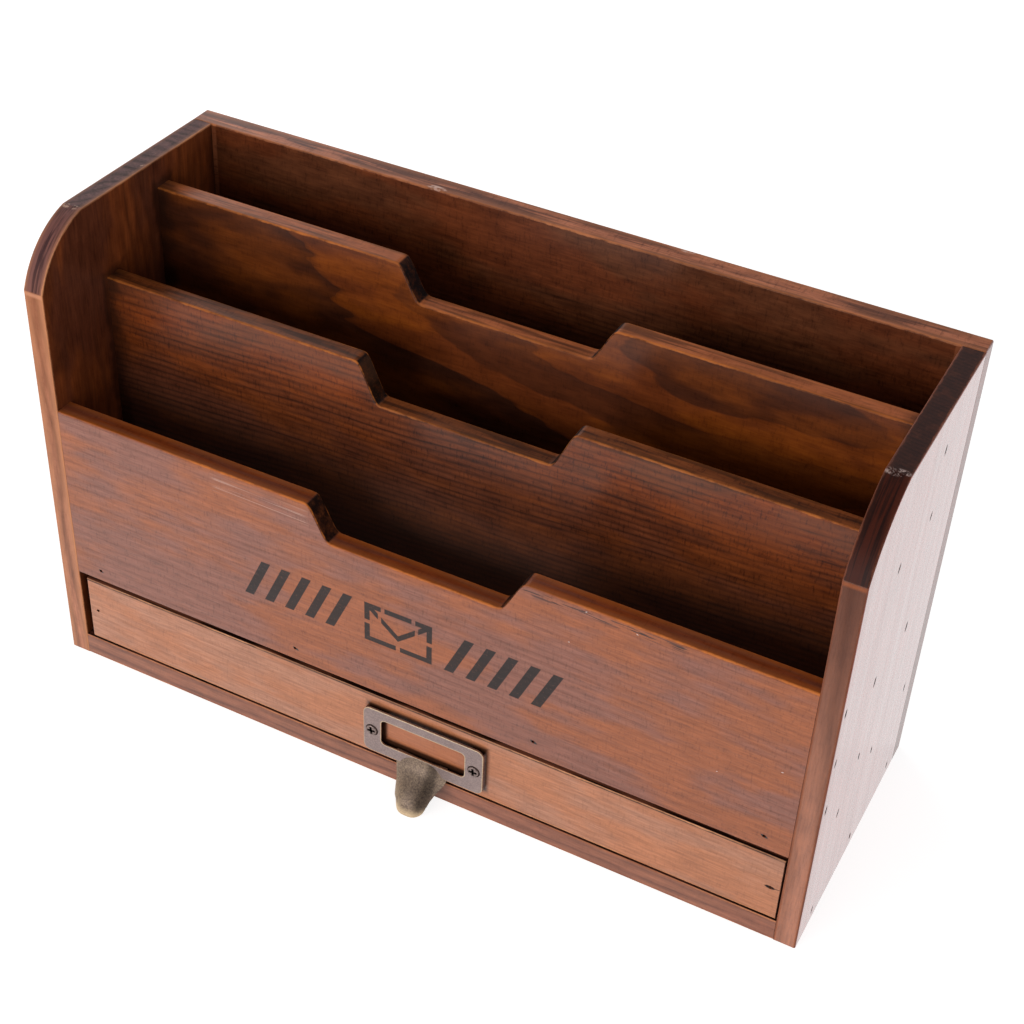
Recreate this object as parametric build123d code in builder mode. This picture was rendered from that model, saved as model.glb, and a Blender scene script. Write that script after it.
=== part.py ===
from build123d import *

import os

# Desk envelope sorter with one drawer: stained pine boards, butted and nailed.
# Millimetres. X is the width, Y runs from the front to the back, Z is up.
# The origin is the middle of the underside, on the surface it stands on.

# ---- carcass ----
WIDTH = 340.0  # over the outer faces of the side panels
DEPTH = 124.0  # front edges of the sides to the rear face of the back panel
HEIGHT = 205.8
SIDE_T = 9.0
BACK_T = 10.0
FRONT_T = 8.5
DIVIDER_T = 8.0
SHELF_T = 8.5
BASE_T = 10.5
BAY_H = 35.8  # clear height of the drawer bay, base board to shelf
FRONT_PANEL_H = 82.9
FIRST_POCKET = 30.0  # clear depth, front panel to front divider
SECOND_POCKET = 28.5  # clear depth, front divider to rear divider
FRONT_DIVIDER_H = 116.4  # above the shelf
REAR_DIVIDER_H = 139.4  # above the shelf

# Rounded corner of the side panels: an arc that meets both edges at an angle,
# sawn by hand, so the left one is fuller than the right one.
LEFT_CORNER_RUN = 28.0
LEFT_CORNER_DROP = 23.0
LEFT_CORNER_R = 39.0
LEFT_TOP_RISE = 1.4  # its top edge climbs this much towards the corner
RIGHT_CORNER_RUN = 30.0
RIGHT_CORNER_DROP = 25.6
RIGHT_CORNER_R = 48.0
RIGHT_TOP_RISE = 0.0

# Hand notch in the top edge of the front panel and of both dividers.
NOTCH_TOP_W = 91.0
NOTCH_BOTTOM_W = 75.5
NOTCH_INSIDE_R = 2.0
FRONT_NOTCH_DEPTH = 15.7
FRONT_NOTCH_X = 1.7
FRONT_DIVIDER_NOTCH_DEPTH = 17.2
FRONT_DIVIDER_NOTCH_X = 0.8
REAR_DIVIDER_NOTCH_DEPTH = 15.6
REAR_DIVIDER_NOTCH_X = -2.3

# Sanded arrises.
ARRIS = 0.7
FINE_ARRIS = 0.35

# ---- drawer ----
DRAWER_FRONT_T = 8.0
DRAWER_SIDE_T = 8.0
DRAWER_BACK_T = 8.0
DRAWER_BOTTOM_T = 3.0
DRAWER_GAP_LEFT = 3.8  # the drawer sits over to the right in its bay
DRAWER_GAP_RIGHT = 0.6
DRAWER_GAP_TOP = 2.2
DRAWER_FRONT_LIFT = 1.1  # drawer front above the base board
DRAWER_SLIDE_GAP = 0.3  # drawer bottom above the base board
DRAWER_REAR_GAP = 0.3  # drawer back to back panel, when shut
DRAWER_SIDE_H = 27.0
DRAWER_BACK_DROP = 2.0  # back board lower than the sides

# ---- label holder with its finger pull, on the drawer front ----
LABEL_X = 8.3
LABEL_Z = 26.7
LABEL_W = 54.7
LABEL_H = 23.6
LABEL_CORNER_R = 3.2
LABEL_SHEET_T = 0.9
LABEL_STAND_OFF = 1.6  # card slot, plate to wood
WINDOW_W = 38.3
WINDOW_H = 13.2
WINDOW_RISE = 0.7  # window centre above the plate's centre
WINDOW_CORNER_R = 1.8
SCREW_SPACING = 46.7
SCREW_SEAT_R = 3.9
SCREW_HEAD_R = 2.5
SCREW_HEAD_H = 1.5
SCREW_HEAD_SINK = 0.35
SCREW_SHANK_R = 1.3
SCREW_LENGTH = 7.0
SCREW_CLEARANCE = 0.05
RECESS_ARM = 2.7
RECESS_SLOT = 0.65
RECESS_DEPTH = 0.9
PULL_SHEET_T = 1.2
PULL_X = 7.8
PULL_TIP_Z = 0.8  # above the surface that the sorter stands on
PULL_TIP_W = 15.6
PULL_TIP_ROUND = 7.5  # height of the rounded end, seen from the front
# Each section of the pull: drop below the plate's lower edge, reach in front
# of the plate's face, slope of the spine (reach per drop), width, arch rise.
PULL_SECTIONS = [
    (-2.6, 0.0, 0.25, 25.0, 0.9),
    (-0.2, 1.3, 1.20, 21.4, 2.0),
    (2.4, 5.4, 1.50, 18.8, 3.4),
    (5.2, 9.6, 1.20, 17.2, 4.4),
    (8.6, 12.7, 0.45, 16.2, 4.8),
    (13.6, 12.9, -0.25, 15.6, 4.8),
]

# ---- brads ----
BRAD_R = 0.65
BRAD_LENGTH = 18.0
BRAD_SINK = 0.9
BRAD_CLEARANCE = 0.03
THIN_BRAD_LENGTH = 12.0
# Across the front panel: the end ones are measured in from the side panels and the
# middle ones out from the middle. Rises are above the middle of the shelf's edge.
FRONT_BRAD_INSET_LEFT = 12.1
FRONT_BRAD_INSET_RIGHT = 10.4
FRONT_BRAD_REACH_LEFT = 52.4
FRONT_BRAD_REACH_RIGHT = 55.4
FRONT_BRAD_RISES = [0.9, 1.5, 2.6, 1.9]
SIDE_BRADS_IN_FRONT = [72.0, 96.2, 120.5]  # heights
SIDE_BRADS_IN_FRONT_DIVIDER = [66.0, 104.3, 157.8]
SIDE_BRADS_IN_REAR_DIVIDER = [102.6, 155.9, 185.3]
SIDE_BRADS_IN_SHELF = [26.0, 64.0, 104.0]  # distances behind the front
SIDE_BRADS_IN_BASE = [16.0, 59.0, 104.0]
BACK_BRAD_ROW = 4  # brads in each row of the back panel, evenly spaced
BACK_BRAD_FOOT = 24.0  # lowest one of a side row, above the underside
BACK_BRAD_HEAD = 18.0  # highest one of a side row, below the top
BACK_BRAD_SPREAD = 224.0  # first to last one of the shelf's and the base's row
DRAWER_BACK_BRAD_SPREAD = 14.0
DRAWER_BOTTOM_BRADS = [22.0, 62.0, 98.0]  # distances behind the drawer front
DRAWER_BOTTOM_BRAD_SPREAD = 150.0  # the two that go up into the back board

# ---- places worked out from the sizes ----
RIGHT = WIDTH / 2
INNER_RIGHT = RIGHT - SIDE_T
FRONT = -DEPTH / 2
REAR = DEPTH / 2
BACK_FACE = REAR - BACK_T  # front face of the back panel
FRONT_PANEL_REAR = FRONT + FRONT_T
FRONT_DIVIDER_Y = FRONT_PANEL_REAR + FIRST_POCKET
REAR_DIVIDER_Y = FRONT_DIVIDER_Y + DIVIDER_T + SECOND_POCKET
SHELF_Z = BASE_T + BAY_H
SHELF_TOP = SHELF_Z + SHELF_T

DRAWER_LEFT = -INNER_RIGHT + DRAWER_GAP_LEFT
DRAWER_RIGHT = INNER_RIGHT - DRAWER_GAP_RIGHT
DRAWER_FRONT_BOTTOM = BASE_T + DRAWER_FRONT_LIFT
DRAWER_FRONT_TOP = SHELF_Z - DRAWER_GAP_TOP
DRAWER_BODY_Y = FRONT + DRAWER_FRONT_T
DRAWER_REAR = BACK_FACE - DRAWER_REAR_GAP
DRAWER_BOTTOM_Z = BASE_T + DRAWER_SLIDE_GAP
DRAWER_SIDE_Z = DRAWER_BOTTOM_Z + DRAWER_BOTTOM_T
DRAWER_BACK_Y = DRAWER_REAR - DRAWER_BACK_T

PLATE_FACE = FRONT - LABEL_STAND_OFF - LABEL_SHEET_T
PLATE_BOTTOM = LABEL_Z - LABEL_H / 2
SCREW_XS = [LABEL_X - SCREW_SPACING / 2, LABEL_X + SCREW_SPACING / 2]
SCREW_SEAT_Y = PLATE_FACE + SCREW_HEAD_SINK
SCREW_TIP_Y = SCREW_SEAT_Y + SCREW_HEAD_H + SCREW_LENGTH


def facing_front(y):
    """Plane at depth y whose sketch has X across and Z up, and whose normal is -Y."""
    return Plane.XZ.offset(-y)


def facing_right(x):
    """Plane at x whose sketch has Y across and Z up, and whose normal is +X."""
    return Plane.YZ.offset(x)


def drill(plane, points, depth, radius=BRAD_R + BRAD_CLEARANCE):
    """Cuts round holes into the part being built, from the plane inwards."""
    with BuildSketch(plane) as holes:
        with Locations(*points):
            Circle(radius)
    extrude(holes.sketch, amount=-depth, mode=Mode.SUBTRACT)


def brad_group(label, rows):
    """Brads as one group of separate solids. A row is (plane, points, length)."""
    with BuildPart() as brads:
        for plane, points, length in rows:
            with BuildSketch(plane.offset(-BRAD_SINK)):
                with Locations(*points):
                    Circle(BRAD_R)
            extrude(amount=-length)
    brads.part.label = label
    return brads


def in_plane(edges, axis, value, tolerance=0.01):
    """The edges that lie wholly at one value along an axis."""
    return edges.filter_by_position(axis, value - tolerance, value + tolerance)


# ---- where the brads go: (plane, points) of each row ----
HOLE_DEPTH = BRAD_SINK + BRAD_LENGTH
THIN_HOLE_DEPTH = BRAD_SINK + THIN_BRAD_LENGTH
SHELF_MID = SHELF_Z + SHELF_T / 2
BASE_MID = BASE_T / 2
FRONT_PANEL_MID = FRONT + FRONT_T / 2
FRONT_DIVIDER_MID = FRONT_DIVIDER_Y + DIVIDER_T / 2
REAR_DIVIDER_MID = REAR_DIVIDER_Y + DIVIDER_T / 2

front_brad_xs = [
    -INNER_RIGHT + FRONT_BRAD_INSET_LEFT,
    -FRONT_BRAD_REACH_LEFT,
    FRONT_BRAD_REACH_RIGHT,
    INNER_RIGHT - FRONT_BRAD_INSET_RIGHT,
]
front_brad_points = [(x, SHELF_MID + up) for x, up in zip(front_brad_xs, FRONT_BRAD_RISES)]

in_front_panel = [(FRONT_PANEL_MID, z) for z in SIDE_BRADS_IN_FRONT]
in_front_divider = [(FRONT_DIVIDER_MID, z) for z in SIDE_BRADS_IN_FRONT_DIVIDER]
in_rear_divider = [(REAR_DIVIDER_MID, z) for z in SIDE_BRADS_IN_REAR_DIVIDER]
in_shelf = [(FRONT + y, SHELF_MID) for y in SIDE_BRADS_IN_SHELF]
in_base = [(FRONT + y, BASE_MID) for y in SIDE_BRADS_IN_BASE]
side_brad_points = in_front_panel + in_front_divider + in_rear_divider + in_shelf + in_base

SIDE_MID = RIGHT - SIDE_T / 2
back_brad_climb = (HEIGHT - BACK_BRAD_HEAD - BACK_BRAD_FOOT) / (BACK_BRAD_ROW - 1)
back_brad_zs = [BACK_BRAD_FOOT + i * back_brad_climb for i in range(BACK_BRAD_ROW)]
back_brad_step = BACK_BRAD_SPREAD / (BACK_BRAD_ROW - 1)
back_brad_xs = [i * back_brad_step - BACK_BRAD_SPREAD / 2 for i in range(BACK_BRAD_ROW)]
back_in_sides = [(x, z) for x in (-SIDE_MID, SIDE_MID) for z in back_brad_zs]
back_in_shelf = [(x, SHELF_MID) for x in back_brad_xs]
back_in_base = [(x, BASE_MID) for x in back_brad_xs]
back_brad_points = back_in_sides + back_in_shelf + back_in_base

DRAWER_SIDE_MIDS = [DRAWER_LEFT + DRAWER_SIDE_T / 2, DRAWER_RIGHT - DRAWER_SIDE_T / 2]
DRAWER_SIDE_MID_Z = DRAWER_SIDE_Z + DRAWER_SIDE_H / 2
DRAWER_BACK_MID = DRAWER_BACK_Y + DRAWER_BACK_T / 2
drawer_front_points = [(x, DRAWER_SIDE_MID_Z) for x in DRAWER_SIDE_MIDS]
drawer_back_points = [
    (DRAWER_BACK_MID, DRAWER_SIDE_MID_Z - DRAWER_BACK_BRAD_SPREAD / 2),
    (DRAWER_BACK_MID, DRAWER_SIDE_MID_Z + DRAWER_BACK_BRAD_SPREAD / 2),
]
DRAWER_MID = (DRAWER_LEFT + DRAWER_RIGHT) / 2
bottom_in_sides = [(x, FRONT + y) for x in DRAWER_SIDE_MIDS for y in DRAWER_BOTTOM_BRADS]
bottom_in_back = [
    (DRAWER_MID - DRAWER_BOTTOM_BRAD_SPREAD / 2, DRAWER_BACK_MID),
    (DRAWER_MID + DRAWER_BOTTOM_BRAD_SPREAD / 2, DRAWER_BACK_MID),
]

right_face = facing_right(RIGHT)
left_face = Plane(origin=(-RIGHT, 0, 0), x_dir=(0, 1, 0), z_dir=(-1, 0, 0))
front_face = facing_front(FRONT)
rear_face = Plane(origin=(0, REAR, 0), x_dir=(-1, 0, 0), z_dir=(0, 1, 0))
drawer_right_face = facing_right(DRAWER_RIGHT)
drawer_left_face = Plane(origin=(DRAWER_LEFT, 0, 0), x_dir=(0, 1, 0), z_dir=(-1, 0, 0))
drawer_under = Plane(origin=(0, 0, DRAWER_BOTTOM_Z), x_dir=(1, 0, 0), z_dir=(0, 0, -1))


def flip_second(points):
    """Points for a plane whose own Y runs against the row's: its second value changes sign."""
    return [(a, -b) for a, b in points]


def flip_first(points):
    """Points for a plane whose own X runs against the row's."""
    return [(-a, b) for a, b in points]


# ---- side panels ----
def side_panel(label, outer_x, inner_x, corner, outer_plane, brad_points):
    """Upright board with vertical grain and an arc across its top front corner."""
    run, drop, radius, rise = corner
    with BuildPart() as panel:
        with BuildSketch(facing_right(inner_x)):
            with BuildLine():
                arc_foot = (FRONT, HEIGHT - drop)
                arc_head = (FRONT + run, HEIGHT + rise)
                Line((FRONT, 0), arc_foot)
                RadiusArc(arc_foot, arc_head, radius)
                Line(arc_head, (BACK_FACE, HEIGHT))
                Line((BACK_FACE, HEIGHT), (BACK_FACE, 0))
                Line((BACK_FACE, 0), (FRONT, 0))
            make_face()
        extrude(amount=outer_x - inner_x)
        ends = (FRONT - 1, BACK_FACE - FINE_ARRIS)
        outer = in_plane(panel.edges(), Axis.X, outer_x).filter_by_position(Axis.Y, *ends)
        fillet(outer.filter_by_position(Axis.Z, ARRIS, 2 * HEIGHT), ARRIS)
        inner = in_plane(panel.edges(), Axis.X, inner_x).filter_by_position(Axis.Y, *ends)
        fillet(inner.filter_by_position(Axis.Z, ARRIS, 2 * HEIGHT), FINE_ARRIS)
        drill(outer_plane, brad_points, HOLE_DEPTH)
        drill(rear_face, flip_first(back_in_sides), HOLE_DEPTH)
    panel.part.label = label
    return panel


# The left plane's own vertical axis runs against Z, so its points change sign.
left_brad_points = flip_second(side_brad_points)
side_panel_right = side_panel(
    "side_panel_right",
    RIGHT,
    INNER_RIGHT,
    (RIGHT_CORNER_RUN, RIGHT_CORNER_DROP, RIGHT_CORNER_R, RIGHT_TOP_RISE),
    right_face,
    side_brad_points,
)
side_panel_left = side_panel(
    "side_panel_left",
    -RIGHT,
    -INNER_RIGHT,
    (LEFT_CORNER_RUN, LEFT_CORNER_DROP, LEFT_CORNER_R, LEFT_TOP_RISE),
    left_face,
    left_brad_points,
)


# ---- back panel ----
with BuildPart() as back_panel:
    with BuildSketch(facing_front(BACK_FACE)):
        with Locations((0, HEIGHT / 2)):
            Rectangle(WIDTH, HEIGHT)
    extrude(amount=-BACK_T)
    fillet(back_panel.edges().filter_by(Axis.X).group_by(Axis.Z)[-1], ARRIS)
    fillet(in_plane(back_panel.edges().filter_by(Axis.Z), Axis.Y, REAR), ARRIS)
    drill(rear_face, flip_first(back_brad_points), HOLE_DEPTH)
back_panel.part.label = "back_panel"


# ---- front panel and dividers: boards with the hand notch ----
def notched_board(label, y, thickness, bottom, height, notch_x, notch_depth, brad_rows):
    """Board between the sides with a slant-ended notch in its top edge."""
    top = bottom + height
    floor = top - notch_depth
    half_top = NOTCH_TOP_W / 2
    half_bottom = NOTCH_BOTTOM_W / 2
    with BuildPart() as board:
        with BuildSketch(facing_front(y)):
            with BuildLine():
                Polyline(
                    (-INNER_RIGHT, bottom),
                    (-INNER_RIGHT, top),
                    (notch_x - half_top, top),
                    (notch_x - half_bottom, floor),
                    (notch_x + half_bottom, floor),
                    (notch_x + half_top, top),
                    (INNER_RIGHT, top),
                    (INNER_RIGHT, bottom),
                    close=True,
                )
            face = make_face()
            inside = face.vertices().filter_by_position(Axis.Z, floor - 0.01, floor + 0.01)
            fillet(inside, NOTCH_INSIDE_R)
        extrude(amount=-thickness)
        above = board.edges().filter_by_position(Axis.Z, floor - 0.01, top + 0.01)
        for face_y in (y, y + thickness):
            fillet(in_plane(above, Axis.Y, face_y), ARRIS)
            above = board.edges().filter_by_position(Axis.Z, floor - 0.01, top + 0.01)
        for plane, points in brad_rows:
            drill(plane, points, HOLE_DEPTH)
    board.part.label = label
    return board


front_panel = notched_board(
    "front_panel",
    FRONT,
    FRONT_T,
    SHELF_Z,
    FRONT_PANEL_H,
    FRONT_NOTCH_X,
    FRONT_NOTCH_DEPTH,
    [
        (front_face, front_brad_points),
        (right_face, in_front_panel),
        (left_face, flip_second(in_front_panel)),
    ],
)
divider_front = notched_board(
    "divider_front",
    FRONT_DIVIDER_Y,
    DIVIDER_T,
    SHELF_TOP,
    FRONT_DIVIDER_H,
    FRONT_DIVIDER_NOTCH_X,
    FRONT_DIVIDER_NOTCH_DEPTH,
    [(right_face, in_front_divider), (left_face, flip_second(in_front_divider))],
)
divider_rear = notched_board(
    "divider_rear",
    REAR_DIVIDER_Y,
    DIVIDER_T,
    SHELF_TOP,
    REAR_DIVIDER_H,
    REAR_DIVIDER_NOTCH_X,
    REAR_DIVIDER_NOTCH_DEPTH,
    [(right_face, in_rear_divider), (left_face, flip_second(in_rear_divider))],
)


# ---- shelf and base board ----
with BuildPart() as shelf:
    with BuildSketch(Plane.XY.offset(SHELF_Z)):
        with Locations((0, (FRONT_PANEL_REAR + BACK_FACE) / 2)):
            Rectangle(2 * INNER_RIGHT, BACK_FACE - FRONT_PANEL_REAR)
    extrude(amount=SHELF_T)
    drill(front_face, front_brad_points, HOLE_DEPTH)
    drill(right_face, in_shelf, HOLE_DEPTH)
    drill(left_face, flip_second(in_shelf), HOLE_DEPTH)
    drill(rear_face, flip_first(back_in_shelf), HOLE_DEPTH)
shelf.part.label = "shelf"

with BuildPart() as base_board:
    with BuildSketch(Plane.XY):
        with Locations((0, (FRONT + BACK_FACE) / 2)):
            Rectangle(2 * INNER_RIGHT, BACK_FACE - FRONT)
    extrude(amount=BASE_T)
    fillet(in_plane(base_board.edges().filter_by(Axis.X), Axis.Y, FRONT), FINE_ARRIS)
    drill(right_face, in_base, HOLE_DEPTH)
    drill(left_face, flip_second(in_base), HOLE_DEPTH)
    drill(rear_face, flip_first(back_in_base), HOLE_DEPTH)
base_board.part.label = "base_board"


# ---- drawer ----
with BuildPart() as drawer_front:
    with BuildSketch(facing_front(FRONT)):
        with Locations((DRAWER_MID, (DRAWER_FRONT_BOTTOM + DRAWER_FRONT_TOP) / 2)):
            Rectangle(DRAWER_RIGHT - DRAWER_LEFT, DRAWER_FRONT_TOP - DRAWER_FRONT_BOTTOM)
    extrude(amount=-DRAWER_FRONT_T)
    fillet(in_plane(drawer_front.edges(), Axis.Y, FRONT), FINE_ARRIS)
    drill(front_face, drawer_front_points, HOLE_DEPTH)
    drill(
        front_face,
        [(x, LABEL_Z) for x in SCREW_XS],
        SCREW_TIP_Y - FRONT + SCREW_CLEARANCE,
        SCREW_SHANK_R + SCREW_CLEARANCE,
    )
drawer_front.part.label = "drawer_front"


def drawer_side(label, mid_x, outer_plane, back_points):
    """Plain board from the drawer front to the drawer's rear, standing on the bottom."""
    with BuildPart() as side:
        with BuildSketch(Plane.XY.offset(DRAWER_SIDE_Z)):
            with Locations((mid_x, (DRAWER_BODY_Y + DRAWER_REAR) / 2)):
                Rectangle(DRAWER_SIDE_T, DRAWER_REAR - DRAWER_BODY_Y)
        extrude(amount=DRAWER_SIDE_H)
        fillet(side.edges().filter_by(Axis.Y).group_by(Axis.Z)[-1], FINE_ARRIS)
        drill(front_face, drawer_front_points, HOLE_DEPTH)
        drill(outer_plane, back_points, HOLE_DEPTH)
        drill(drawer_under, flip_second(bottom_in_sides), THIN_HOLE_DEPTH)
    side.part.label = label
    return side


drawer_side_left = drawer_side(
    "drawer_side_left", DRAWER_SIDE_MIDS[0], drawer_left_face, flip_second(drawer_back_points)
)
drawer_side_right = drawer_side(
    "drawer_side_right", DRAWER_SIDE_MIDS[1], drawer_right_face, drawer_back_points
)

with BuildPart() as drawer_back:
    with BuildSketch(Plane.XY.offset(DRAWER_SIDE_Z)):
        with Locations((DRAWER_MID, DRAWER_BACK_MID)):
            Rectangle(DRAWER_RIGHT - DRAWER_LEFT - 2 * DRAWER_SIDE_T, DRAWER_BACK_T)
    extrude(amount=DRAWER_SIDE_H - DRAWER_BACK_DROP)
    fillet(drawer_back.edges().filter_by(Axis.X).group_by(Axis.Z)[-1], FINE_ARRIS)
    drill(drawer_right_face, drawer_back_points, HOLE_DEPTH)
    drill(drawer_left_face, flip_second(drawer_back_points), HOLE_DEPTH)
    drill(drawer_under, flip_second(bottom_in_back), THIN_HOLE_DEPTH)
drawer_back.part.label = "drawer_back"

with BuildPart() as drawer_bottom:
    with BuildSketch(Plane.XY.offset(DRAWER_BOTTOM_Z)):
        with Locations((DRAWER_MID, (DRAWER_BODY_Y + DRAWER_REAR) / 2)):
            Rectangle(DRAWER_RIGHT - DRAWER_LEFT, DRAWER_REAR - DRAWER_BODY_Y)
    extrude(amount=DRAWER_BOTTOM_T)
    drill(drawer_under, flip_second(bottom_in_sides + bottom_in_back), THIN_HOLE_DEPTH)
drawer_bottom.part.label = "drawer_bottom"


# ---- label holder and finger pull ----
def pull_plane(drop, reach, slope):
    """Plane across the pull's spine. Its sketch has X across and +Y on the outer side."""
    origin = (PULL_X, PLATE_FACE - reach, PLATE_BOTTOM - drop)
    return Plane(origin=origin, x_dir=(1, 0, 0), z_dir=(0, -slope, -1))


def arch(plane, width, rise, skin, foot):
    """Closed arch whose crown touches the plane's origin, drawn in by skin."""
    half = width / 2 - skin
    with BuildSketch(plane) as section:
        with BuildLine():
            curve = ThreePointArc((-half, -rise - foot), (0, -skin), (half, -rise - foot))
            Line(curve @ 1, curve @ 0)
        make_face()
    return section.sketch


with BuildPart() as label_pull:
    loft(
        [
            arch(pull_plane(drop, reach, slope), width, rise, 0, 0)
            for drop, reach, slope, width, rise in PULL_SECTIONS
        ]
    )
    loft(
        [
            arch(pull_plane(drop, reach, slope), width, rise, PULL_SHEET_T, FINE_ARRIS)
            for drop, reach, slope, width, rise in PULL_SECTIONS[1:]
        ],
        mode=Mode.SUBTRACT,
    )
    with BuildSketch(front_face):
        with Locations((PULL_X, PULL_TIP_Z + PULL_TIP_ROUND)):
            Ellipse(PULL_TIP_W / 2, PULL_TIP_ROUND)
            Rectangle(LABEL_W, LABEL_H, align=(Align.CENTER, Align.MIN))
    extrude(amount=LABEL_W, mode=Mode.INTERSECT)
    with BuildSketch(facing_front(PLATE_FACE)):
        with Locations((LABEL_X, LABEL_Z)):
            RectangleRounded(LABEL_W, LABEL_H, LABEL_CORNER_R)
    extrude(amount=-LABEL_SHEET_T)
    with BuildSketch(front_face):
        with Locations((LABEL_X, LABEL_Z)):
            RectangleRounded(LABEL_W, LABEL_H, LABEL_CORNER_R)
        with Locations((LABEL_X, LABEL_Z + LABEL_SHEET_T + LABEL_CORNER_R / 2)):
            Rectangle(LABEL_W - 2 * LABEL_SHEET_T, LABEL_H + LABEL_CORNER_R, mode=Mode.SUBTRACT)
    extrude(amount=LABEL_STAND_OFF)
    with BuildSketch(front_face):
        with Locations(*[(x, LABEL_Z) for x in SCREW_XS]):
            Circle(SCREW_SEAT_R)
    extrude(amount=LABEL_STAND_OFF)
    with BuildSketch(facing_front(PLATE_FACE)):
        with Locations((LABEL_X, LABEL_Z + WINDOW_RISE)):
            RectangleRounded(WINDOW_W, WINDOW_H, WINDOW_CORNER_R)
    extrude(amount=-LABEL_SHEET_T - LABEL_STAND_OFF, mode=Mode.SUBTRACT)
    drill(
        facing_front(PLATE_FACE),
        [(x, LABEL_Z) for x in SCREW_XS],
        LABEL_SHEET_T + LABEL_STAND_OFF,
        SCREW_SHANK_R + SCREW_CLEARANCE,
    )
    with BuildSketch(facing_front(PLATE_FACE)):
        with Locations(*[(x, LABEL_Z) for x in SCREW_XS]):
            Circle(SCREW_HEAD_R + SCREW_CLEARANCE)
    extrude(amount=-SCREW_HEAD_SINK - SCREW_HEAD_H - SCREW_CLEARANCE, mode=Mode.SUBTRACT)
label_pull.part.label = "label_pull"

with BuildPart() as label_screws:
    for x in SCREW_XS:
        with BuildSketch(facing_front(SCREW_SEAT_Y)):
            with Locations((x, LABEL_Z)):
                Circle(SCREW_HEAD_R)
        extrude(amount=-SCREW_HEAD_H)
        with BuildSketch(facing_front(SCREW_SEAT_Y + SCREW_HEAD_H)):
            with Locations((x, LABEL_Z)):
                Circle(SCREW_SHANK_R)
        extrude(amount=-SCREW_LENGTH)
        with BuildSketch(facing_front(SCREW_SEAT_Y)):
            with Locations((x, LABEL_Z)):
                Rectangle(RECESS_ARM, RECESS_SLOT)
                Rectangle(RECESS_SLOT, RECESS_ARM)
        extrude(amount=-RECESS_DEPTH, mode=Mode.SUBTRACT)
label_screws.part.label = "label_screws"


# ---- brads ----
side_brads_right = brad_group(
    "side_brads_right", [(right_face, side_brad_points, BRAD_LENGTH)]
)
side_brads_left = brad_group("side_brads_left", [(left_face, left_brad_points, BRAD_LENGTH)])
front_panel_brads = brad_group(
    "front_panel_brads", [(front_face, front_brad_points, BRAD_LENGTH)]
)
back_panel_brads = brad_group(
    "back_panel_brads", [(rear_face, flip_first(back_brad_points), BRAD_LENGTH)]
)
drawer_front_brads = brad_group(
    "drawer_front_brads", [(front_face, drawer_front_points, BRAD_LENGTH)]
)
drawer_back_brads = brad_group(
    "drawer_back_brads",
    [
        (drawer_right_face, drawer_back_points, BRAD_LENGTH),
        (drawer_left_face, flip_second(drawer_back_points), BRAD_LENGTH),
    ],
)
drawer_bottom_brads = brad_group(
    "drawer_bottom_brads",
    [(drawer_under, flip_second(bottom_in_sides + bottom_in_back), THIN_BRAD_LENGTH)],
)


# ---- one file for each piece ----
os.makedirs("parts", exist_ok=True)
for piece in (
    side_panel_left,
    side_panel_right,
    back_panel,
    front_panel,
    divider_front,
    divider_rear,
    shelf,
    base_board,
    drawer_front,
    drawer_side_left,
    drawer_side_right,
    drawer_back,
    drawer_bottom,
    label_pull,
    label_screws,
    side_brads_left,
    side_brads_right,
    front_panel_brads,
    back_panel_brads,
    drawer_front_brads,
    drawer_back_brads,
    drawer_bottom_brads,
):
    export_step(piece.part, "parts/" + piece.part.label + ".step")
    print(piece.part.label, round(piece.part.volume))
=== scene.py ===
# %% [markdown]
# # An envelope sorter with a drawer
# The sorter is a small carcass of stained pine: two rounded side panels, a back, a front
# panel, two dividers with a hand notch, and a drawer with a brass label holder and pull.
# The boards come from the CAD model, which is the fixed frame of this scene. This lesson
# gives them wood with real growth rings, and builds the brass fitting afresh.

# %% Load the frame
import math

import bmesh
import bpy
from mathutils import Matrix, Quaternion, Vector


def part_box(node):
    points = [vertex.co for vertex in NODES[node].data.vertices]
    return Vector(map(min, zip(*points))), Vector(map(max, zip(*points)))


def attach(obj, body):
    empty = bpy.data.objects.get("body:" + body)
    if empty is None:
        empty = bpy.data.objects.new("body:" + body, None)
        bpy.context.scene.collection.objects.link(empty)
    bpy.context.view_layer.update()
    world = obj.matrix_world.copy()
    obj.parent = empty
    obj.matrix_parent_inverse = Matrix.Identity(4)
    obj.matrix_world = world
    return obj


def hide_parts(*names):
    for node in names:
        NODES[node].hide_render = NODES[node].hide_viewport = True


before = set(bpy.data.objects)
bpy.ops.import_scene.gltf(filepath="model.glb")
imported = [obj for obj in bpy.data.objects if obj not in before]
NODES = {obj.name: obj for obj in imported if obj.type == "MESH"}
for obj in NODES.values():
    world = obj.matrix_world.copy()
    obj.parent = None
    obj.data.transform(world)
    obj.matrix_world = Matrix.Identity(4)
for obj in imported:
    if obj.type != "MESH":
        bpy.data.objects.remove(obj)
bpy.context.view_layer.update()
scene = bpy.context.scene
MM = 0.001

# %% [markdown]
# ## The camera
# The sorter was photographed from the right and well above, with a longish lens. A place, a
# point to look at and a small roll describe that view, and they're easier to read than a matrix.

# %% Camera
CAMERA_PLACE = Vector((0.26875, -0.52968, 0.57271))
CAMERA_TARGET = Vector((0.00854, 0.00613, 0.1))
CAMERA_ROLL = math.radians(2.846)
SENSOR = 36.0
FOCAL_LENGTH = 66.587

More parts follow.
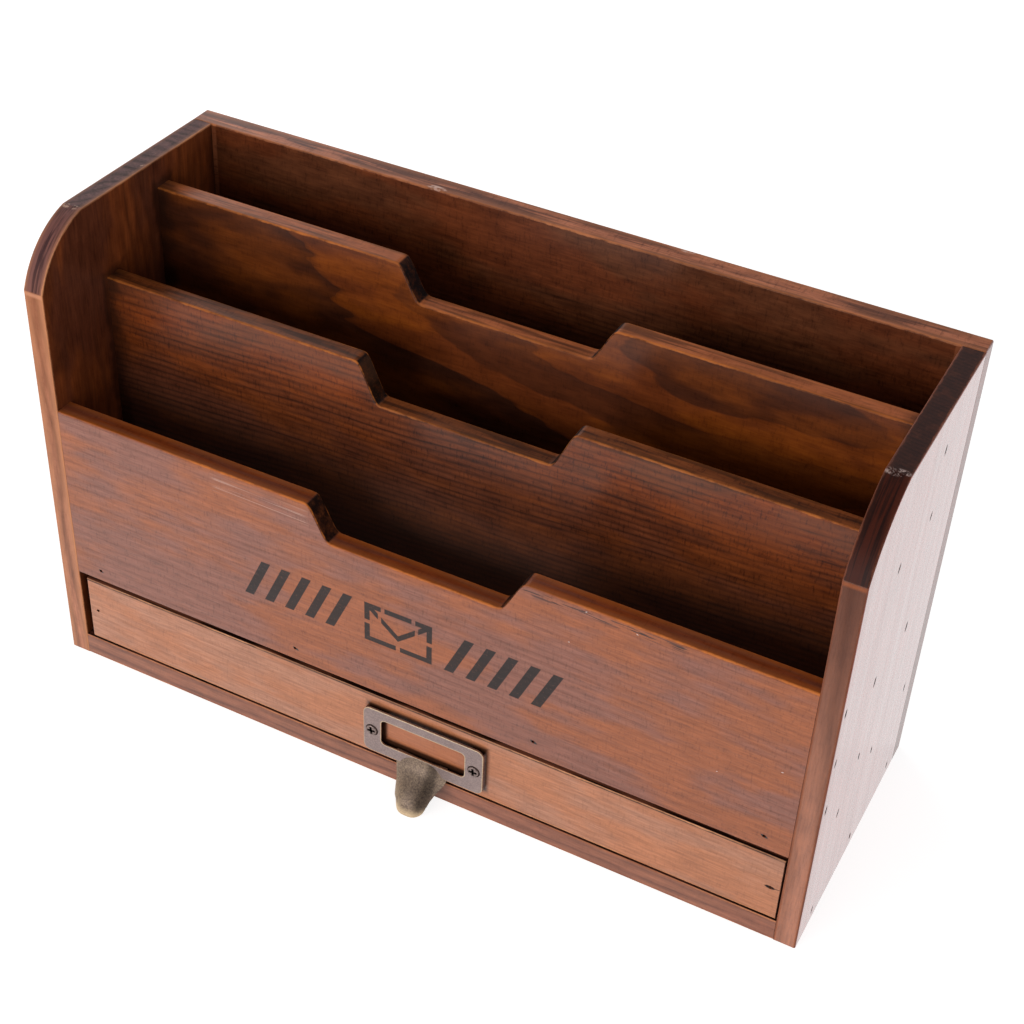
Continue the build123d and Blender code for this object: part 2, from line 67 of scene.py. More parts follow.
camera = bpy.data.objects.new("camera", bpy.data.cameras.new("camera"))
scene.collection.objects.link(camera)
scene.camera = camera
camera.data.sensor_width = SENSOR
camera.data.lens = FOCAL_LENGTH
camera.data.clip_start = 0.01
camera.rotation_mode = "QUATERNION"
camera.location = CAMERA_PLACE
level = (CAMERA_TARGET - CAMERA_PLACE).to_track_quat("-Z", "Y")
camera.rotation_quaternion = level @ Quaternion((0, 0, 1), CAMERA_ROLL)
print("distance to the middle:", round((CAMERA_TARGET - CAMERA_PLACE).length, 3))

# %% [markdown]
# ## Shader maths as plain sums
# A wood shader is mostly arithmetic on positions. Written node by node it can't be read, so
# `Value` wraps a socket and turns `a * b + 1` into Math nodes. `Nodes` holds one tree and has
# a single method, `node`, for every other kind of node: its settings are made first, then
# its sockets get numbers or links. Colours never go through a Math node, which would turn
# them grey: they're mixed with `blend`. `Finish` is such a tree with a material round it.


# %% A socket that can be added and multiplied
class Value:
    """A socket of a node tree, for sums written as Python."""

    def __init__(self, nodes, socket):
        self.nodes = nodes
        self.socket = socket

    def math(self, operation, *others):
        return self.nodes.node("Math", {"operation": operation}, dict(enumerate([self, *others])))

    def __add__(self, other):
        return self.math("ADD", other)

    def __mul__(self, other):
        return self.math("MULTIPLY", other)

    def __sub__(self, other):
        return self.math("SUBTRACT", other)

    def __truediv__(self, other):
        return self.math("DIVIDE", other)

    def __rsub__(self, other):
        return self.nodes.node("Math", {"operation": "SUBTRACT"}, {0: other, 1: self})

    __radd__ = __add__
    __rmul__ = __mul__

    def abs(self):
        return self.math("ABSOLUTE")

    def max(self, other):
        return self.math("MAXIMUM", other)

    def min(self, other):
        return self.math("MINIMUM", other)

    def ramp(self, low, high):
        """0 below low, 1 above high, and a soft step between; it falls where low > high."""
        rises = low < high
        ends = (low, high) if rises else (high, low)
        sockets = {"Value": self, "From Min": ends[0], "From Max": ends[1]}
        sockets.update({"To Min": 0.0 if rises else 1.0, "To Max": 1.0 if rises else 0.0})
        return self.nodes.node("MapRange", {"interpolation_type": "SMOOTHSTEP"}, sockets)


# %% A tree of nodes
class Nodes:
    """A node tree under construction."""

    def __init__(self, tree):
        self.tree = tree

    def node(self, kind, settings=None, sockets=None, out=0):
        """Any node: its type, its settings, and the values or links of its sockets."""
        made = self.tree.nodes.new("ShaderNode" + kind)
        for key, setting in (settings or {}).items():
            if key == "stops":
                while len(made.color_ramp.elements) < len(setting):
                    made.color_ramp.elements.new(1.0)
                for element, (place, colour) in zip(made.color_ramp.elements, setting):
                    element.position = place
                    element.color = colour
            else:
                setattr(made, key, setting)
        for key, value in (sockets or {}).items():
            if isinstance(value, Value):
                self.tree.links.new(value.socket, made.inputs[key])
            else:
                made.inputs[key].default_value = value
        return Value(self, made.outputs[out])

    def parts(self, vector):
        """A vector's x, y and z as three values."""
        return [self.node("SeparateXYZ", None, {0: vector}, out=i) for i in range(3)]

    def noise(self, x, y, z, detail=2.0, roughness=0.5, out=0):
        """Smooth noise, about 0.5 in the middle, one blob per unit."""
        sockets = {"Vector": self.node("CombineXYZ", None, {0: x, 1: y, 2: z}), "Scale": 1.0}
        sockets.update({"Detail": detail, "Roughness": roughness})
        return self.node("TexNoise", None, sockets, out)

    def blend(self, share, first, second, how="MIX"):
        """Two colours mixed: the first where share is 0, the second where it's 1."""
        settings = {"data_type": "RGBA", "blend_type": how, "clamp_factor": True}
        return self.node("Mix", settings, {0: share, 6: first, 7: second}, out=2)


# %% A material under construction
def srgb(red, green, blue):
    """A colour as a painter would read it, 0 to 255, as the linear RGBA that a shader wants."""
    parts = [c / 255 for c in (red, green, blue)]
    return (*[c / 12.92 if c <= 0.04045 else ((c + 0.055) / 1.055) ** 2.4 for c in parts], 1.0)


class Finish(Nodes):
    """One material: a Principled shader, and the nodes that feed it."""

    def __init__(self, name):
        self.material = bpy.data.materials.new(name)
        self.material.use_nodes = True
        super().__init__(self.material.node_tree)
        self.tree.nodes.clear()
        self.shader = self.tree.nodes.new("ShaderNodeBsdfPrincipled")
        self.output = self.tree.nodes.new("ShaderNodeOutputMaterial")
        self.show(Value(self, self.shader.outputs[0]))

    def show(self, shader):
        """Makes this shader the one that the surface shows."""
        self.tree.links.new(shader.socket, self.output.inputs[0])

    def place(self):
        """The object coordinates as three values."""
        return self.parts(self.node("TexCoord", out=3))

    def set(self, socket, value):
        """Feeds the Principled shader: a link for what varies, a plain number for the rest."""
        if isinstance(value, Value):
            self.tree.links.new(value.socket, self.shader.inputs[socket])
        else:
            self.shader.inputs[socket].default_value = value

    def cover(self, share, colour):
        """Lays a matt colour over the shader where share is 1, like the dirt in a deep gouge."""
        matt = self.node("BsdfDiffuse", None, {"Color": colour})
        clean = Value(self, self.shader.outputs[0])
        self.show(self.node("MixShader", None, {0: share, 1: clean, 2: matt}))


# %% [markdown]
# ## The stage
# The photograph has the even light of a white tent that is open at the top: no hard shadow, a
# white ground, white mirrored in the varnish where it's seen at a low angle, and edges that face
# up darker than the front. So the sky is white near the horizon and dims towards the zenith,
# two large soft lamps light the front and the back left, and the floor is pure white only to
# the camera and in reflections, where it still keeps the object's shadow.

# %% The tent's sky
SKY_TOP = 0.3
SKY_WHITE_BELOW = 0.2  # sine of the height above the horizon
SKY_DIM_ABOVE = 0.55

world = bpy.data.worlds.new("tent")
scene.world = world
world.use_nodes = True
tent = Nodes(world.node_tree)
upwards = tent.parts(tent.node("TexCoord", out="Generated"))[2]
strength = 1.0 - upwards.ramp(SKY_WHITE_BELOW, SKY_DIM_ABOVE) * (1.0 - SKY_TOP)
sky = world.node_tree.nodes["Background"]
sky.inputs["Color"].default_value = (1.0, 1.0, 1.0, 1.0)
world.node_tree.links.new(strength.socket, sky.inputs["Strength"])
print("the sky dims to", SKY_TOP, "overhead")

# %% Floor
FLOOR_PALE = (0.82, 0.815, 0.81, 1.0)
FLOOR_SEEN = (0.45, 0.45, 0.45, 1.0)
FLOOR_GLOW = 0.84
FLOOR_SIZE = 6.0

ground = bmesh.new()
bmesh.ops.create_grid(ground, x_segments=1, y_segments=1, size=FLOOR_SIZE / 2)
floor = bpy.data.objects.new("floor", bpy.data.meshes.new("floor"))
ground.to_mesh(floor.data)
ground.free()
scene.collection.objects.link(floor)

paper = Finish("paper_floor")
seen = paper.node("LightPath", out="Is Camera Ray")
for ray in ("Is Glossy Ray", "Is Transmission Ray"):
    seen = seen.max(paper.node("LightPath", out=ray))
matt = paper.node("BsdfDiffuse", None, {"Color": paper.blend(seen, FLOOR_PALE, FLOOR_SEEN)})
glow = paper.node("Emission", None, {"Strength": seen * FLOOR_GLOW})
paper.show(paper.node("AddShader", None, {0: matt, 1: glow}))
paper.tree.nodes.remove(paper.shader)
floor.data.materials.append(paper.material)
print("the floor is", FLOOR_SIZE, "m wide")


# %% Lamps
def soft_lamp(name, place, target, width, height, power):
    lamp = bpy.data.objects.new(name, bpy.data.lights.new(name, "AREA"))
    lamp.data.shape = "RECTANGLE"
    lamp.data.size, lamp.data.size_y = width, height
    lamp.data.energy = power
    lamp.location = place
    lamp.rotation_mode = "QUATERNION"
    lamp.rotation_quaternion = (Vector(target) - Vector(place)).to_track_quat("-Z", "Y")
    scene.collection.objects.link(lamp)
    print(name, "power", power)


soft_lamp("front_lamp", (-0.5, -1.6, 0.6), (0, 0, 0.1), width=1.4, height=0.9, power=13.0)
soft_lamp("back_left_lamp", (-1.1, 0.9, 1.0), (0, 0, 0.15), width=0.8, height=0.6, power=5.0)
scene.view_settings.view_transform = "Standard"

# %% [markdown]
# ## Pine with real growth rings
# A plank is sawn from a trunk, so its figure isn't drawn on its faces: it's where the faces
# cut the trunk's rings. An image would repeat and would need unwrapping. Here the shader
# measures how far each point is from the heart of the tree, a line along the grain somewhere
# behind the board. Faces then show straight lines or arches, ends show arcs, and every
# edge matches the face beside it with no unwrapping.


# %% A board's own directions
# For each way the grain may run: the axis along it, across the face, and through the board.
GRAIN_ORDER = {"x": (0, 2, 1), "z": (2, 1, 0), "x_flat": (0, 1, 2), "y": (1, 2, 0)}


class Wood(Finish):
    """The finish of a board, which knows where it is, where its grain runs and how it faces."""

    def __init__(self, name, along, seed):
        super().__init__(name)
        self.at = self.place()
        self.facing = self.parts(self.node("TexCoord", out=1))
        self.axes = [self.at[i] for i in GRAIN_ORDER[along]]
        self.seed = seed
        self.top = self.facing[2].ramp(0.6, 0.95)
        self.front = self.facing[1].ramp(-0.75, -0.95)

    def grain(self, along, across, detail=2.0, roughness=0.5, out=0, seed=None):
        """Noise drawn out along the grain, in blobs per metre."""
        a, c, t = self.axes
        start = self.seed if seed is None else seed
        return self.noise(a * along + start, c * across, t * across, detail, roughness, out)

    def cloud(self, x, y, z, detail=2.0, roughness=0.5, climb=0.0):
        """Noise along the object's own axes, in blobs per metre; its layers may climb to one side."""
        height = self.at[2] * z
        if climb:
            height = height + self.at[0] * climb
        return self.noise(self.at[0] * x, self.at[1] * y, height, detail, roughness)


# %% Growth rings
def greys(*stops):
    return [(place, (level, level, level, 1.0)) for place, level in stops]


SOFT_YEAR = greys(
    (0.0, 0.7), (0.16, 0.25), (0.4, 0.0), (0.6, 0.15), (0.8, 0.8), (0.92, 1.0), (1.0, 0.7)
)
FLAMED_YEAR = greys(
    (0.0, 1.0), (0.3, 0.75), (0.53, 0.9), (0.56, 0.1), (0.75, 0.0), (0.97, 0.15), (1.0, 1.0)
)


class Tree:
    """Where a board was sawn: the tree's heart, how it leans, and the width of a year."""

    def __init__(self, heart, lean, spacing, seed, wander=0.012, profile=SOFT_YEAR, last=None):
        self.heart, self.lean, self.spacing = heart, lean, spacing * MM
        self.seed, self.wander, self.profile, self.last = seed, wander, profile, last


def ring_count(wood, tree):
    """The rings counted from the heart of the tree, wandering a little as trees do."""
    a, c, t = wood.axes
    drift = wood.grain(4.0, 13.0, out=1)
    du, dv = [wood.node("SeparateColor", None, {0: drift}, out=i) - 0.5 for i in range(2)]
    ripple = wood.grain(26.0, 90.0) - 0.5
    u = c - tree.heart[0] + a * tree.lean[0] + du * tree.wander
    v = t - tree.heart[1] + a * tree.lean[1] + dv * tree.wander
    rings = (u * u + v * v).math("SQRT") / tree.spacing + ripple * 0.5
    return rings.min(tree.last) if tree.last else rings


def late_wood(wood, tree):
    """1 on the dense dark line that ends each year's growth, fainter in some years."""
    rings = ring_count(wood, tree)
    year = wood.node("TexWhiteNoise", {"noise_dimensions": "1D"}, {"W": rings.math("FLOOR")})
    line = wood.node("ValToRGB", {"stops": tree.profile}, {0: rings.math("FRACT")})
    return wood.node("RGBToBW", None, {0: line}) * (year * 0.45 + 0.55)


# %% [markdown]
# ## Where a board is worn
# Stain rubs off the sharp edges first and shows tan wood. On a board's surface, the way to
# the nearest arris is the distance to its outline plus the distance to its nearer face, so
# the wear needs only the board's own sizes. The outlines are worked out once in Python:
# a notched board has a height that changes along it, and a side panel has a sawn corner.

# %% Sizes of the carcass
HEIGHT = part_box("back_panel")[1].z
INNER_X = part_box("side_panel_right")[0].x
BACK_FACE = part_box("back_panel")[0].y
JOINTS = [  # middle and top of each divider, where it meets the side panels
    (sum(corner.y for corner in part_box(node)) / 2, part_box(node)[1].z)
    for node in ("divider_front", "divider_rear")
]
NOTCH_HALF_TOP = 45.5 * MM
NOTCH_HALF_FLOOR = 37.75 * MM
NOTCH_ROUND = 6.0 * MM
NOTCHES = {  # middle of the notch, depth of the notch
    "front_panel": (1.7 * MM, 15.7 * MM),
    "divider_front": (0.8 * MM, 17.2 * MM),
    "divider_rear": (-2.3 * MM, 15.6 * MM),
}
print("height:", round(HEIGHT, 4), "inner width:", round(2 * INNER_X, 4))


# %% Plain and notched boards
def way_to_faces(depth, low, high):
    """How far a point is from the nearer of the board's two faces."""
    return (depth - low).abs().min((depth - high).abs())


def notch_height(x, top, floor, middle):
    """The height of a notched board's top edge at each place across, its corners rounded."""
    slope = (top - floor) / (NOTCH_HALF_TOP - NOTCH_HALF_FLOOR)
    rise = floor + ((x - middle).abs() - NOTCH_HALF_FLOOR) * slope
    return rise.math("SMOOTH_MAX", floor, NOTCH_ROUND).math("SMOOTH_MIN", top, NOTCH_ROUND)


def notched_wear(node):
    low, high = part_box(node)
    middle, depth = NOTCHES[node]

    def wear(x, y, z):
        top = notch_height(x, high.z, high.z - depth, middle)
        return (top - z).max(0.0) + way_to_faces(y, low.y, high.y)

    return wear


def box_wear(node, edges=(1, 2)):
    """Wear along the long edges of a plain board; edges are the two axes across it."""
    low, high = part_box(node)

    def wear(*place):
        first, second = [way_to_faces(place[axis], low[axis], high[axis]) for axis in edges]
        return first + second

    return wear


# %% Side panels
LEFT_CORNER = [size * MM for size in (28.0, 23.0, 39.0)]  # run back, drop and radius of the arc
RIGHT_CORNER = [size * MM for size in (30.0, 25.6, 48.0)]
LEFT_FOOT, RIGHT_FOOT = HEIGHT - LEFT_CORNER[1], HEIGHT - RIGHT_CORNER[1]
CORNER_SPAN = 12.0 * MM


def side_wear(node, run, drop, radius):
    """Wear along the sawn outline of a side panel: front edge, corner arc and top."""
    low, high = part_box(node)
    foot, head = Vector((low.y, HEIGHT - drop)), Vector((low.y + run, high.z))
    chord = head - foot
    inward = Vector((chord.y, -chord.x)).normalized()
    centre = (foot + head) / 2 + inward * math.sqrt(radius**2 - (chord.length / 2) ** 2)
    fall = (high.z - HEIGHT) / (high.y - head.x)

    def wear(x, y, z):
        out_y, out_z = y - centre.x, z - centre.y
        arc = radius - (out_y * out_y + out_z * out_z).math("SQRT")
        near = (out_y * -inward.x + out_z * -inward.y - (radius - CORNER_SPAN)).ramp(-1 * MM, 0.0)
        top = high.z - (y - head.x).max(0.0) * fall
        edge = (y - low.y).min(top - z).min(arc + (1.0 - near)).max(0.0)
        return edge + way_to_faces(x, low.x, high.x)

    return wear


print("arcs start at", round(LEFT_FOOT, 4), "on the left and", round(RIGHT_FOOT, 4), "on the right")


# %% [markdown]
# ## The stain
# One stain shows as many colours. Early wood takes it warmly and in patches, late wood stays
# dark, edges that face up differ from faces, and ends drink it until they're nearly black.
# Fibres, cloudy absorption and saw marks then lighten and darken all of that. A single colour
# ramp can't do this, so each board lists its colours, and the functions lay them on in the
# order in which they lie on the wood. Colours are written as they're seen, from 0 to 255.


# %% The colours of one board
class Tones:
    """The stain's colours on one board, and how strongly each part of its figure shows."""

    def __init__(self, early, patch, late, top, worn, end, edge=None, outer=None, away=1.0,
                 rings=0.7, fibre=0.6, mottle=0.5, blotch=0.45, saw=0.3, dust=0.0, fade=None,
                 rub=0.5, glow=0.0):
        self.early, self.patch, self.late = srgb(*early), srgb(*patch), srgb(*late)
        self.top, self.worn, self.end = srgb(*top), srgb(*worn), srgb(*end)
        self.edge = srgb(*edge) if edge else None
        self.outer, self.away = srgb(*outer) if outer else None, away
        self.rings, self.fibre, self.mottle, self.blotch = rings, fibre, mottle, blotch
        self.saw, self.dust, self.fade, self.rub, self.glow = saw, dust, fade, rub, glow


# %% Stain on faces and ends
DEEP = (0.42, 0.35, 0.3, 1.0)  # what the darkest and the palest fibres multiply the stain by
PALE = (1.62, 1.7, 1.78, 1.0)
LATE_IN_END = srgb(18, 9, 8)
DUST = srgb(124, 98, 88)


def stained(wood, tones, late):
    """The stain on a board's faces and upper edge, with its rings."""
    patches = wood.grain(14.0, 44.0, detail=3.0, roughness=0.6)
    colour = wood.blend(patches.ramp(0.42, 0.58), tones.early, tones.patch)
    ringed = late * tones.rings * (patches.ramp(0.32, 0.62) * 0.65 + 0.4)
    colour = wood.blend(ringed, colour, tones.late)
    if tones.edge:
        colour = wood.blend(wood.front, colour, wood.blend(late * 0.5, tones.edge, tones.late))
    if tones.outer:
        outside = (wood.facing[0] * tones.away).ramp(0.75, 0.95)
        colour = wood.blend(outside, colour, wood.blend(late * 0.25, tones.outer, tones.late))
    streak = wood.grain(30.0, 420.0).ramp(0.4, 0.62)
    return wood.blend(wood.top, colour, wood.blend(streak * 0.75, tones.top, tones.late))


def end_grain(wood, tones, late, mottle):
    """The stain on sawn ends: dark, with the rings darker still and a few pale pores."""
    pores = wood.grain(60.0, 1400.0, roughness=0.7, seed=0.0)
    colour = wood.blend(late * 0.65, tones.end, LATE_IN_END)
    colour = wood.blend(mottle.ramp(0.45, 0.75) * 0.25, colour, tones.early)
    return wood.blend(pores.ramp(0.55, 0.85) * 0.2, colour, tones.worn)


def textured(wood, tones, colour, fibre, mottle, saw):
    """Light and dark from fibres, cloudy absorption and saw marks, and dust low in the pockets."""
    blotch = wood.grain(34.0, 60.0, detail=3.0, roughness=0.6) - 0.5
    depth = (fibre - 0.5) * tones.fibre + (mottle - 0.5) * tones.mottle + blotch * tones.blotch
    depth = depth + 0.5 - (saw - 0.5).ramp(0.0, 0.25) * tones.saw
    colour = wood.blend(1.0, colour, wood.blend(depth, DEEP, PALE), "MULTIPLY")
    if tones.dust:
        y, z = wood.at[1] / MM, wood.at[2] / MM
        colour = wood.blend(z.ramp(135.0, 55.0) * y.ramp(60.0, 56.0) * tones.dust, colour, DUST)
    return colour


# %% [markdown]
# ## Wear and varnish
# The arrises are rubbed in two ways: a soft paler band where hands and cloth pass, and small
# chips down to bare wood, whose width changes along the board. A satin varnish lies over the
# rest. It's a clear coat whose weight falls on ends, top edges and chips, where the real
# varnish sank in or wore off, and it's brushed out in faint lines along the grain.


# %% Rubbed and chipped arrises
def worn_stain(wood, tones, colour, way, top, end):
    """The stain rubbed towards the worn colour near the arrises; way is in millimetres."""
    handled = wood.top.max(wood.front) if tones.edge else wood.top
    rubbed = way.ramp(4.5, 0.2) * handled * (1.0 - end)
    colour = wood.blend(rubbed * tones.rub, colour, tones.worn)
    if tones.glow:
        colour = wood.blend(way.ramp(2.4, 0.2) * end * tones.glow, colour, tones.worn)
    grit = wood.grain(150.0, 200.0, detail=4.0, roughness=0.7)
    reach = wood.grain(19.0, 19.0).ramp(0.3, 0.7)
    chips = (way - grit * 1.6 + 0.35).ramp(0.35, -0.15) * (reach * 0.8 + 0.15)
    # Tops keep no chips without rubbing, so the drawer's top edge stays dark as painted shade in the
    # gap.
    if not tones.rub:
        chips = chips * (1.0 - top)
    return wood.blend(chips, colour, tones.worn), chips


# %% Varnish
class Varnish:
    """One board's varnish: its weight, the gloss of wood and coat, and what shows through."""

    def __init__(self, weight=0.3, rough=0.4, coat_rough=0.26, bump=0.35, fuzz=0.0,
                 polish=0.0, ridges=0.2, brush=4.0):
        self.weight, self.rough, self.coat_rough, self.bump = weight, rough, coat_rough, bump
        self.fuzz, self.polish, self.ridges, self.brush = fuzz, polish, ridges, brush


# %% One board's whole finish
FUZZ_TINT = (1.0, 0.42, 0.46, 1.0)
GRAIN_DEPTH = 0.1 * MM


def pine(name, along, tree, tones, wear, varnish, ends=None, marks=None):
    """One board's pine. wear is a function that gives the way to the nearest arris."""
    wood = Wood(name, along, tree.seed)
    late = late_wood(wood, tree)
    if tones.fade:
        late = late * (wood.at[2] / MM).ramp(*tones.fade)
    fibre = wood.grain(80.0, 1000.0, detail=3.0, roughness=0.7)
    saw = wood.grain(1000.0, 260.0, roughness=0.7)
    mottle = wood.grain(75.0, 240.0, detail=3.0, roughness=0.65)
    lengthwise = wood.facing[GRAIN_ORDER[along][0]].abs()
    end = ends(wood) if ends else lengthwise.ramp(0.3, 0.6)
    top = wood.top * (1.0 - end)

    colour = stained(wood, tones, late)
    colour = wood.blend(end, colour, end_grain(wood, tones, late, mottle))
    colour = textured(wood, tones, colour, fibre, mottle, saw)
    dull = 0.0
    if marks:
        colour, dull = marks(wood, colour)
    way = wear(*wood.at) / MM
    colour, chips = worn_stain(wood, tones, colour, way, top, end)
    wood.set("Base Color", colour)

    wood.set("Roughness", fibre * 0.14 + end * 0.15 + chips * 0.08 + (varnish.rough - 0.07))
    bare = end.max(top * 0.9).max(way.ramp(1.3, 0.4) * 0.9).max(dull)
    brushed = wood.grain(8.0, 280.0, detail=varnish.brush, roughness=0.65) * 0.4 + 0.8
    coat = (1.0 - bare) * brushed * (1.0 - late * varnish.ridges) * varnish.weight
    wood.set("Coat Weight", coat + end * varnish.polish)
    wood.set("Coat Roughness", varnish.coat_rough)
    wood.set("Sheen Weight", varnish.fuzz)
    wood.set("Sheen Tint", FUZZ_TINT)
    wood.set("Sheen Roughness", 0.35)
    wood.set("Specular IOR Level", 0.12)
    relief = {"Strength": varnish.bump, "Distance": GRAIN_DEPTH}
    relief["Height"] = fibre * 0.5 + saw * 0.3 + late * 0.3
    wood.set("Normal", wood.node("Bump", None, relief))
    return wood.material


# %% [markdown]
# ## The stencil
# The front panel has a plain envelope sign between slanted bars, sprayed in grey ink through a
# stencil with small bridges. It could be a flat piece laid on the board, but the real ink is
# thin and lets the grain show. So it's a mask in the board's own shader, a sum of bars, and
# the ink is blended over the wood where the mask is 1.


# %% Envelope sign and slanted bars
INK = srgb(22, 14, 13)
STENCIL_X, STENCIL_Z = -4.5, 82.0
SIGN_HALF_W, SIGN_HALF_H, STROKE = 15.0, 9.6, 2.4
FLAP_SLOPE, FLAP_HALF = 0.85, 1.45
BRIDGES = [  # middle, half width and half height, the same on both sides
    ((0.0, -8.4), 0.9, 2.0), ((13.8, 0.0), 2.0, 0.9),
    ((6.8, 8.4), 0.8, 1.9), ((8.2, 2.6), 0.7, 3.2),
]
STRIPES_MIDDLE, STRIPES_HALF = 45.5, 23.5  # how far out the slanted bars stand
STRIPE_LEAN, STRIPE_STEP, STRIPE_SHARE = 0.45, 9.4, 0.44


def bar(x, z, middle, half_width, half_height, soft=0.15):
    """1 inside an upright rectangle, in millimetres."""
    inside = (half_width - (x - middle[0]).abs()).min(half_height - (z - middle[1]).abs())
    return inside.ramp(-soft, soft)


def stencil(x, z):
    """The envelope sign with slanted bars on both sides; x and z in millimetres."""
    x, z = x - STENCIL_X, z - STENCIL_Z
    whole = bar(x, z, (0, 0), SIGN_HALF_W, SIGN_HALF_H)
    body = whole - bar(x, z, (0, 0), SIGN_HALF_W - STROKE, SIGN_HALF_H - STROKE)
    fold = FLAP_SLOPE * (SIGN_HALF_W - x.abs()) - (SIGN_HALF_H - z)
    flap = (FLAP_HALF - fold.abs()).ramp(-0.2, 0.2) * whole
    sign = body.max(flap)
    for middle, half_width, half_height in BRIDGES:
        sign = sign * (1.0 - bar(x.abs(), z, middle, half_width, half_height))
    out = (x - z * STRIPE_LEAN).abs()
    count = (out - (STRIPES_MIDDLE - STRIPES_HALF)) / STRIPE_STEP
    stripe = (STRIPE_SHARE / 2 - (count.math("FRACT") - 0.5).abs()).ramp(-0.015, 0.015)
    return sign.max(stripe * bar(out, z, (STRIPES_MIDDLE, 0), STRIPES_HALF, SIGN_HALF_H))


# %% [markdown]
# ## Gouges, scratches and painted shade
# The brads were driven below the surface, and the stain turned the torn wood round them black.
# Scratches follow the edges that hands reach, and painted shade lies round the label holder and
# along the drawer's top, under the front panel. None of them is deep enough for the mesh, so each
# is a mask too, placed in millimetres. A function of marks gets the board's colour and returns the
# new one, with a mask of where the varnish is dull.


# %% Gouges over the brads
GOUGE = srgb(20, 8, 6)
FRONT_GOUGES = [  # across, up, length, slant
    (-148.7, 51.4, 1.7, -0.5), (-52.0, 52.0, 1.9, -0.4), (55.6, 53.1, 2.1, -0.3),
    (150.7, 52.4, 2.0, -0.3), (150.7, 52.4, 1.5, 0.9), (150.5, 52.5, 1.5, -1.6),
]
DRAWER_GOUGES = [(-153.2, 27.4, 1.3, 0.6), (156.2, 27.3, 2.6, -0.05), (156.4, 27.3, 1.6, 1.4)]


def gouges(x, z, places):
    """Short slanted gouges over sunk brads; places in millimetres."""
    found = None
    for px, pz, length, slant in places:
        u, v = x - px, z - pz
        along, across = u + v * slant, (v - u * slant) * 2.6
        near = (along * along + across * across).math("SQRT").ramp(length, length * 0.6)
        found = near if found is None else found.max(near)
    return found


# %% Front panel
SCRATCH = srgb(216, 176, 158)
CRACK = srgb(58, 24, 14)
SPECK = srgb(236, 222, 214)
SPECKS = [  # small chips in the stain: across, up, length, slant
    (67.1, 110.2, 0.5, 0.2), (73.0, 127.3, 0.6, 0.5), (82.9, 129.4, 0.4, 0.1),
    (93.1, 125.6, 0.6, -0.4), (129.2, 75.3, 0.5, 0.6), (153.1, 87.1, 0.6, 0.3),
]


def front_marks(wood, colour):
    """The stencil, gouges and specks, and scratches and a crack along the top edge."""
    x, z = wood.at[0] / MM, wood.at[2] / MM
    on_face = wood.facing[1].ramp(-0.8, -0.95)
    thin = wood.cloud(900.0, 900.0, 900.0).ramp(0.2, 0.45)
    ink = stencil(x, z) * on_face * (thin * 0.16 + 0.8)
    colour = wood.blend(ink, colour, INK)
    lines = wood.cloud(16.0, 16.0, 1700.0, climb=30.0).ramp(0.52, 0.62)
    scratched = bar(x, z, (-66, 122.5), 20.0, 2.2, soft=3.5) * on_face
    colour = wood.blend(lines * scratched * 0.7, colour, SCRATCH)
    cracks = wood.cloud(80.0, 16.0, 1300.0, climb=30.0).ramp(0.52, 0.6)
    cracked = bar(x, z, (80, 126.6), 32.0, 1.5, soft=1.2) * on_face
    colour = wood.blend(cracks * cracked, colour, CRACK)
    colour = wood.blend(gouges(x, z, FRONT_GOUGES) * on_face, colour, GOUGE)
    return wood.blend(gouges(x, z, SPECKS) * on_face * 0.8, colour, SPECK), ink * 0.5


# %% Drawer front
# Painted shade: the slot and shadow round the label holder, and the shadow under the front panel.
PAINTED_SHADE = srgb(40, 18, 8)
UNDER_CARD = srgb(166, 82, 32)


def drawer_marks(wood, colour):
    """Painted shade round the label holder and under the front panel, and gouges; a crack runs on from
    the right one.
    """
    x, z = wood.at[0] / MM, wood.at[2] / MM
    on_face = wood.facing[1].ramp(-0.8, -0.95)
    in_window = bar(x, z, (8.3, 27.4), 19.2, 6.6) * on_face
    colour = wood.blend(in_window * 0.4, colour, UNDER_CARD)
    # Painted shade round the plate, along the window's left and lower edges, and under the front panel.
    round_plate = bar(x, z, (9.0, 27.4), 27.6, 12.0, soft=1.3)
    dirt_and_shade = round_plate - bar(x, z, (8.8, 28.1), 18.2, 5.6, soft=1.0)
    under_panel = z.ramp(42.6, 43.4)
    colour = wood.blend((dirt_and_shade * 0.95).max(under_panel * 0.9) * on_face, colour, PAINTED_SHADE)
    crack = (z - 27.1 - (x - 156.0) * 0.1).abs().ramp(0.35, 0.05) * x.ramp(155.0, 157.0)
    dark = gouges(x, z, DRAWER_GOUGES).max(crack * 0.8) * on_face
    return wood.blend(dark, colour, GOUGE), dark


# %% [markdown]
# ## Grime and scuffs
# Glue and old stain fill the corners between boards, and the top edges are scuffed. The upper
# front of the front divider gets painted light and a painted reflection. Grime is a distance from
# the joint, roughened by noise so that its edge wanders. The gouges on the side panels are laid
# over the shader as matt dirt, because a clear coat would mirror the white tent even where its
# colour is black.


# %% Dividers
POCKET_GRIME = srgb(34, 16, 9)
# Painted reflection and painted light for the upper front of the front divider.
PAINTED_REFLECTION = srgb(108, 71, 52)
PAINTED_LIGHT_TINT = (1.85, 1.5, 0.75, 1.0)


def grime(wood, way, reach):
    """Glue and old stain that gather in a joint; way is how far off the joint is."""
    blobs = wood.cloud(130.0, 130.0, 130.0, detail=3.0)
    return ((way / MM) + (blobs - 0.5) * reach * 1.6).ramp(reach, reach * 0.15)


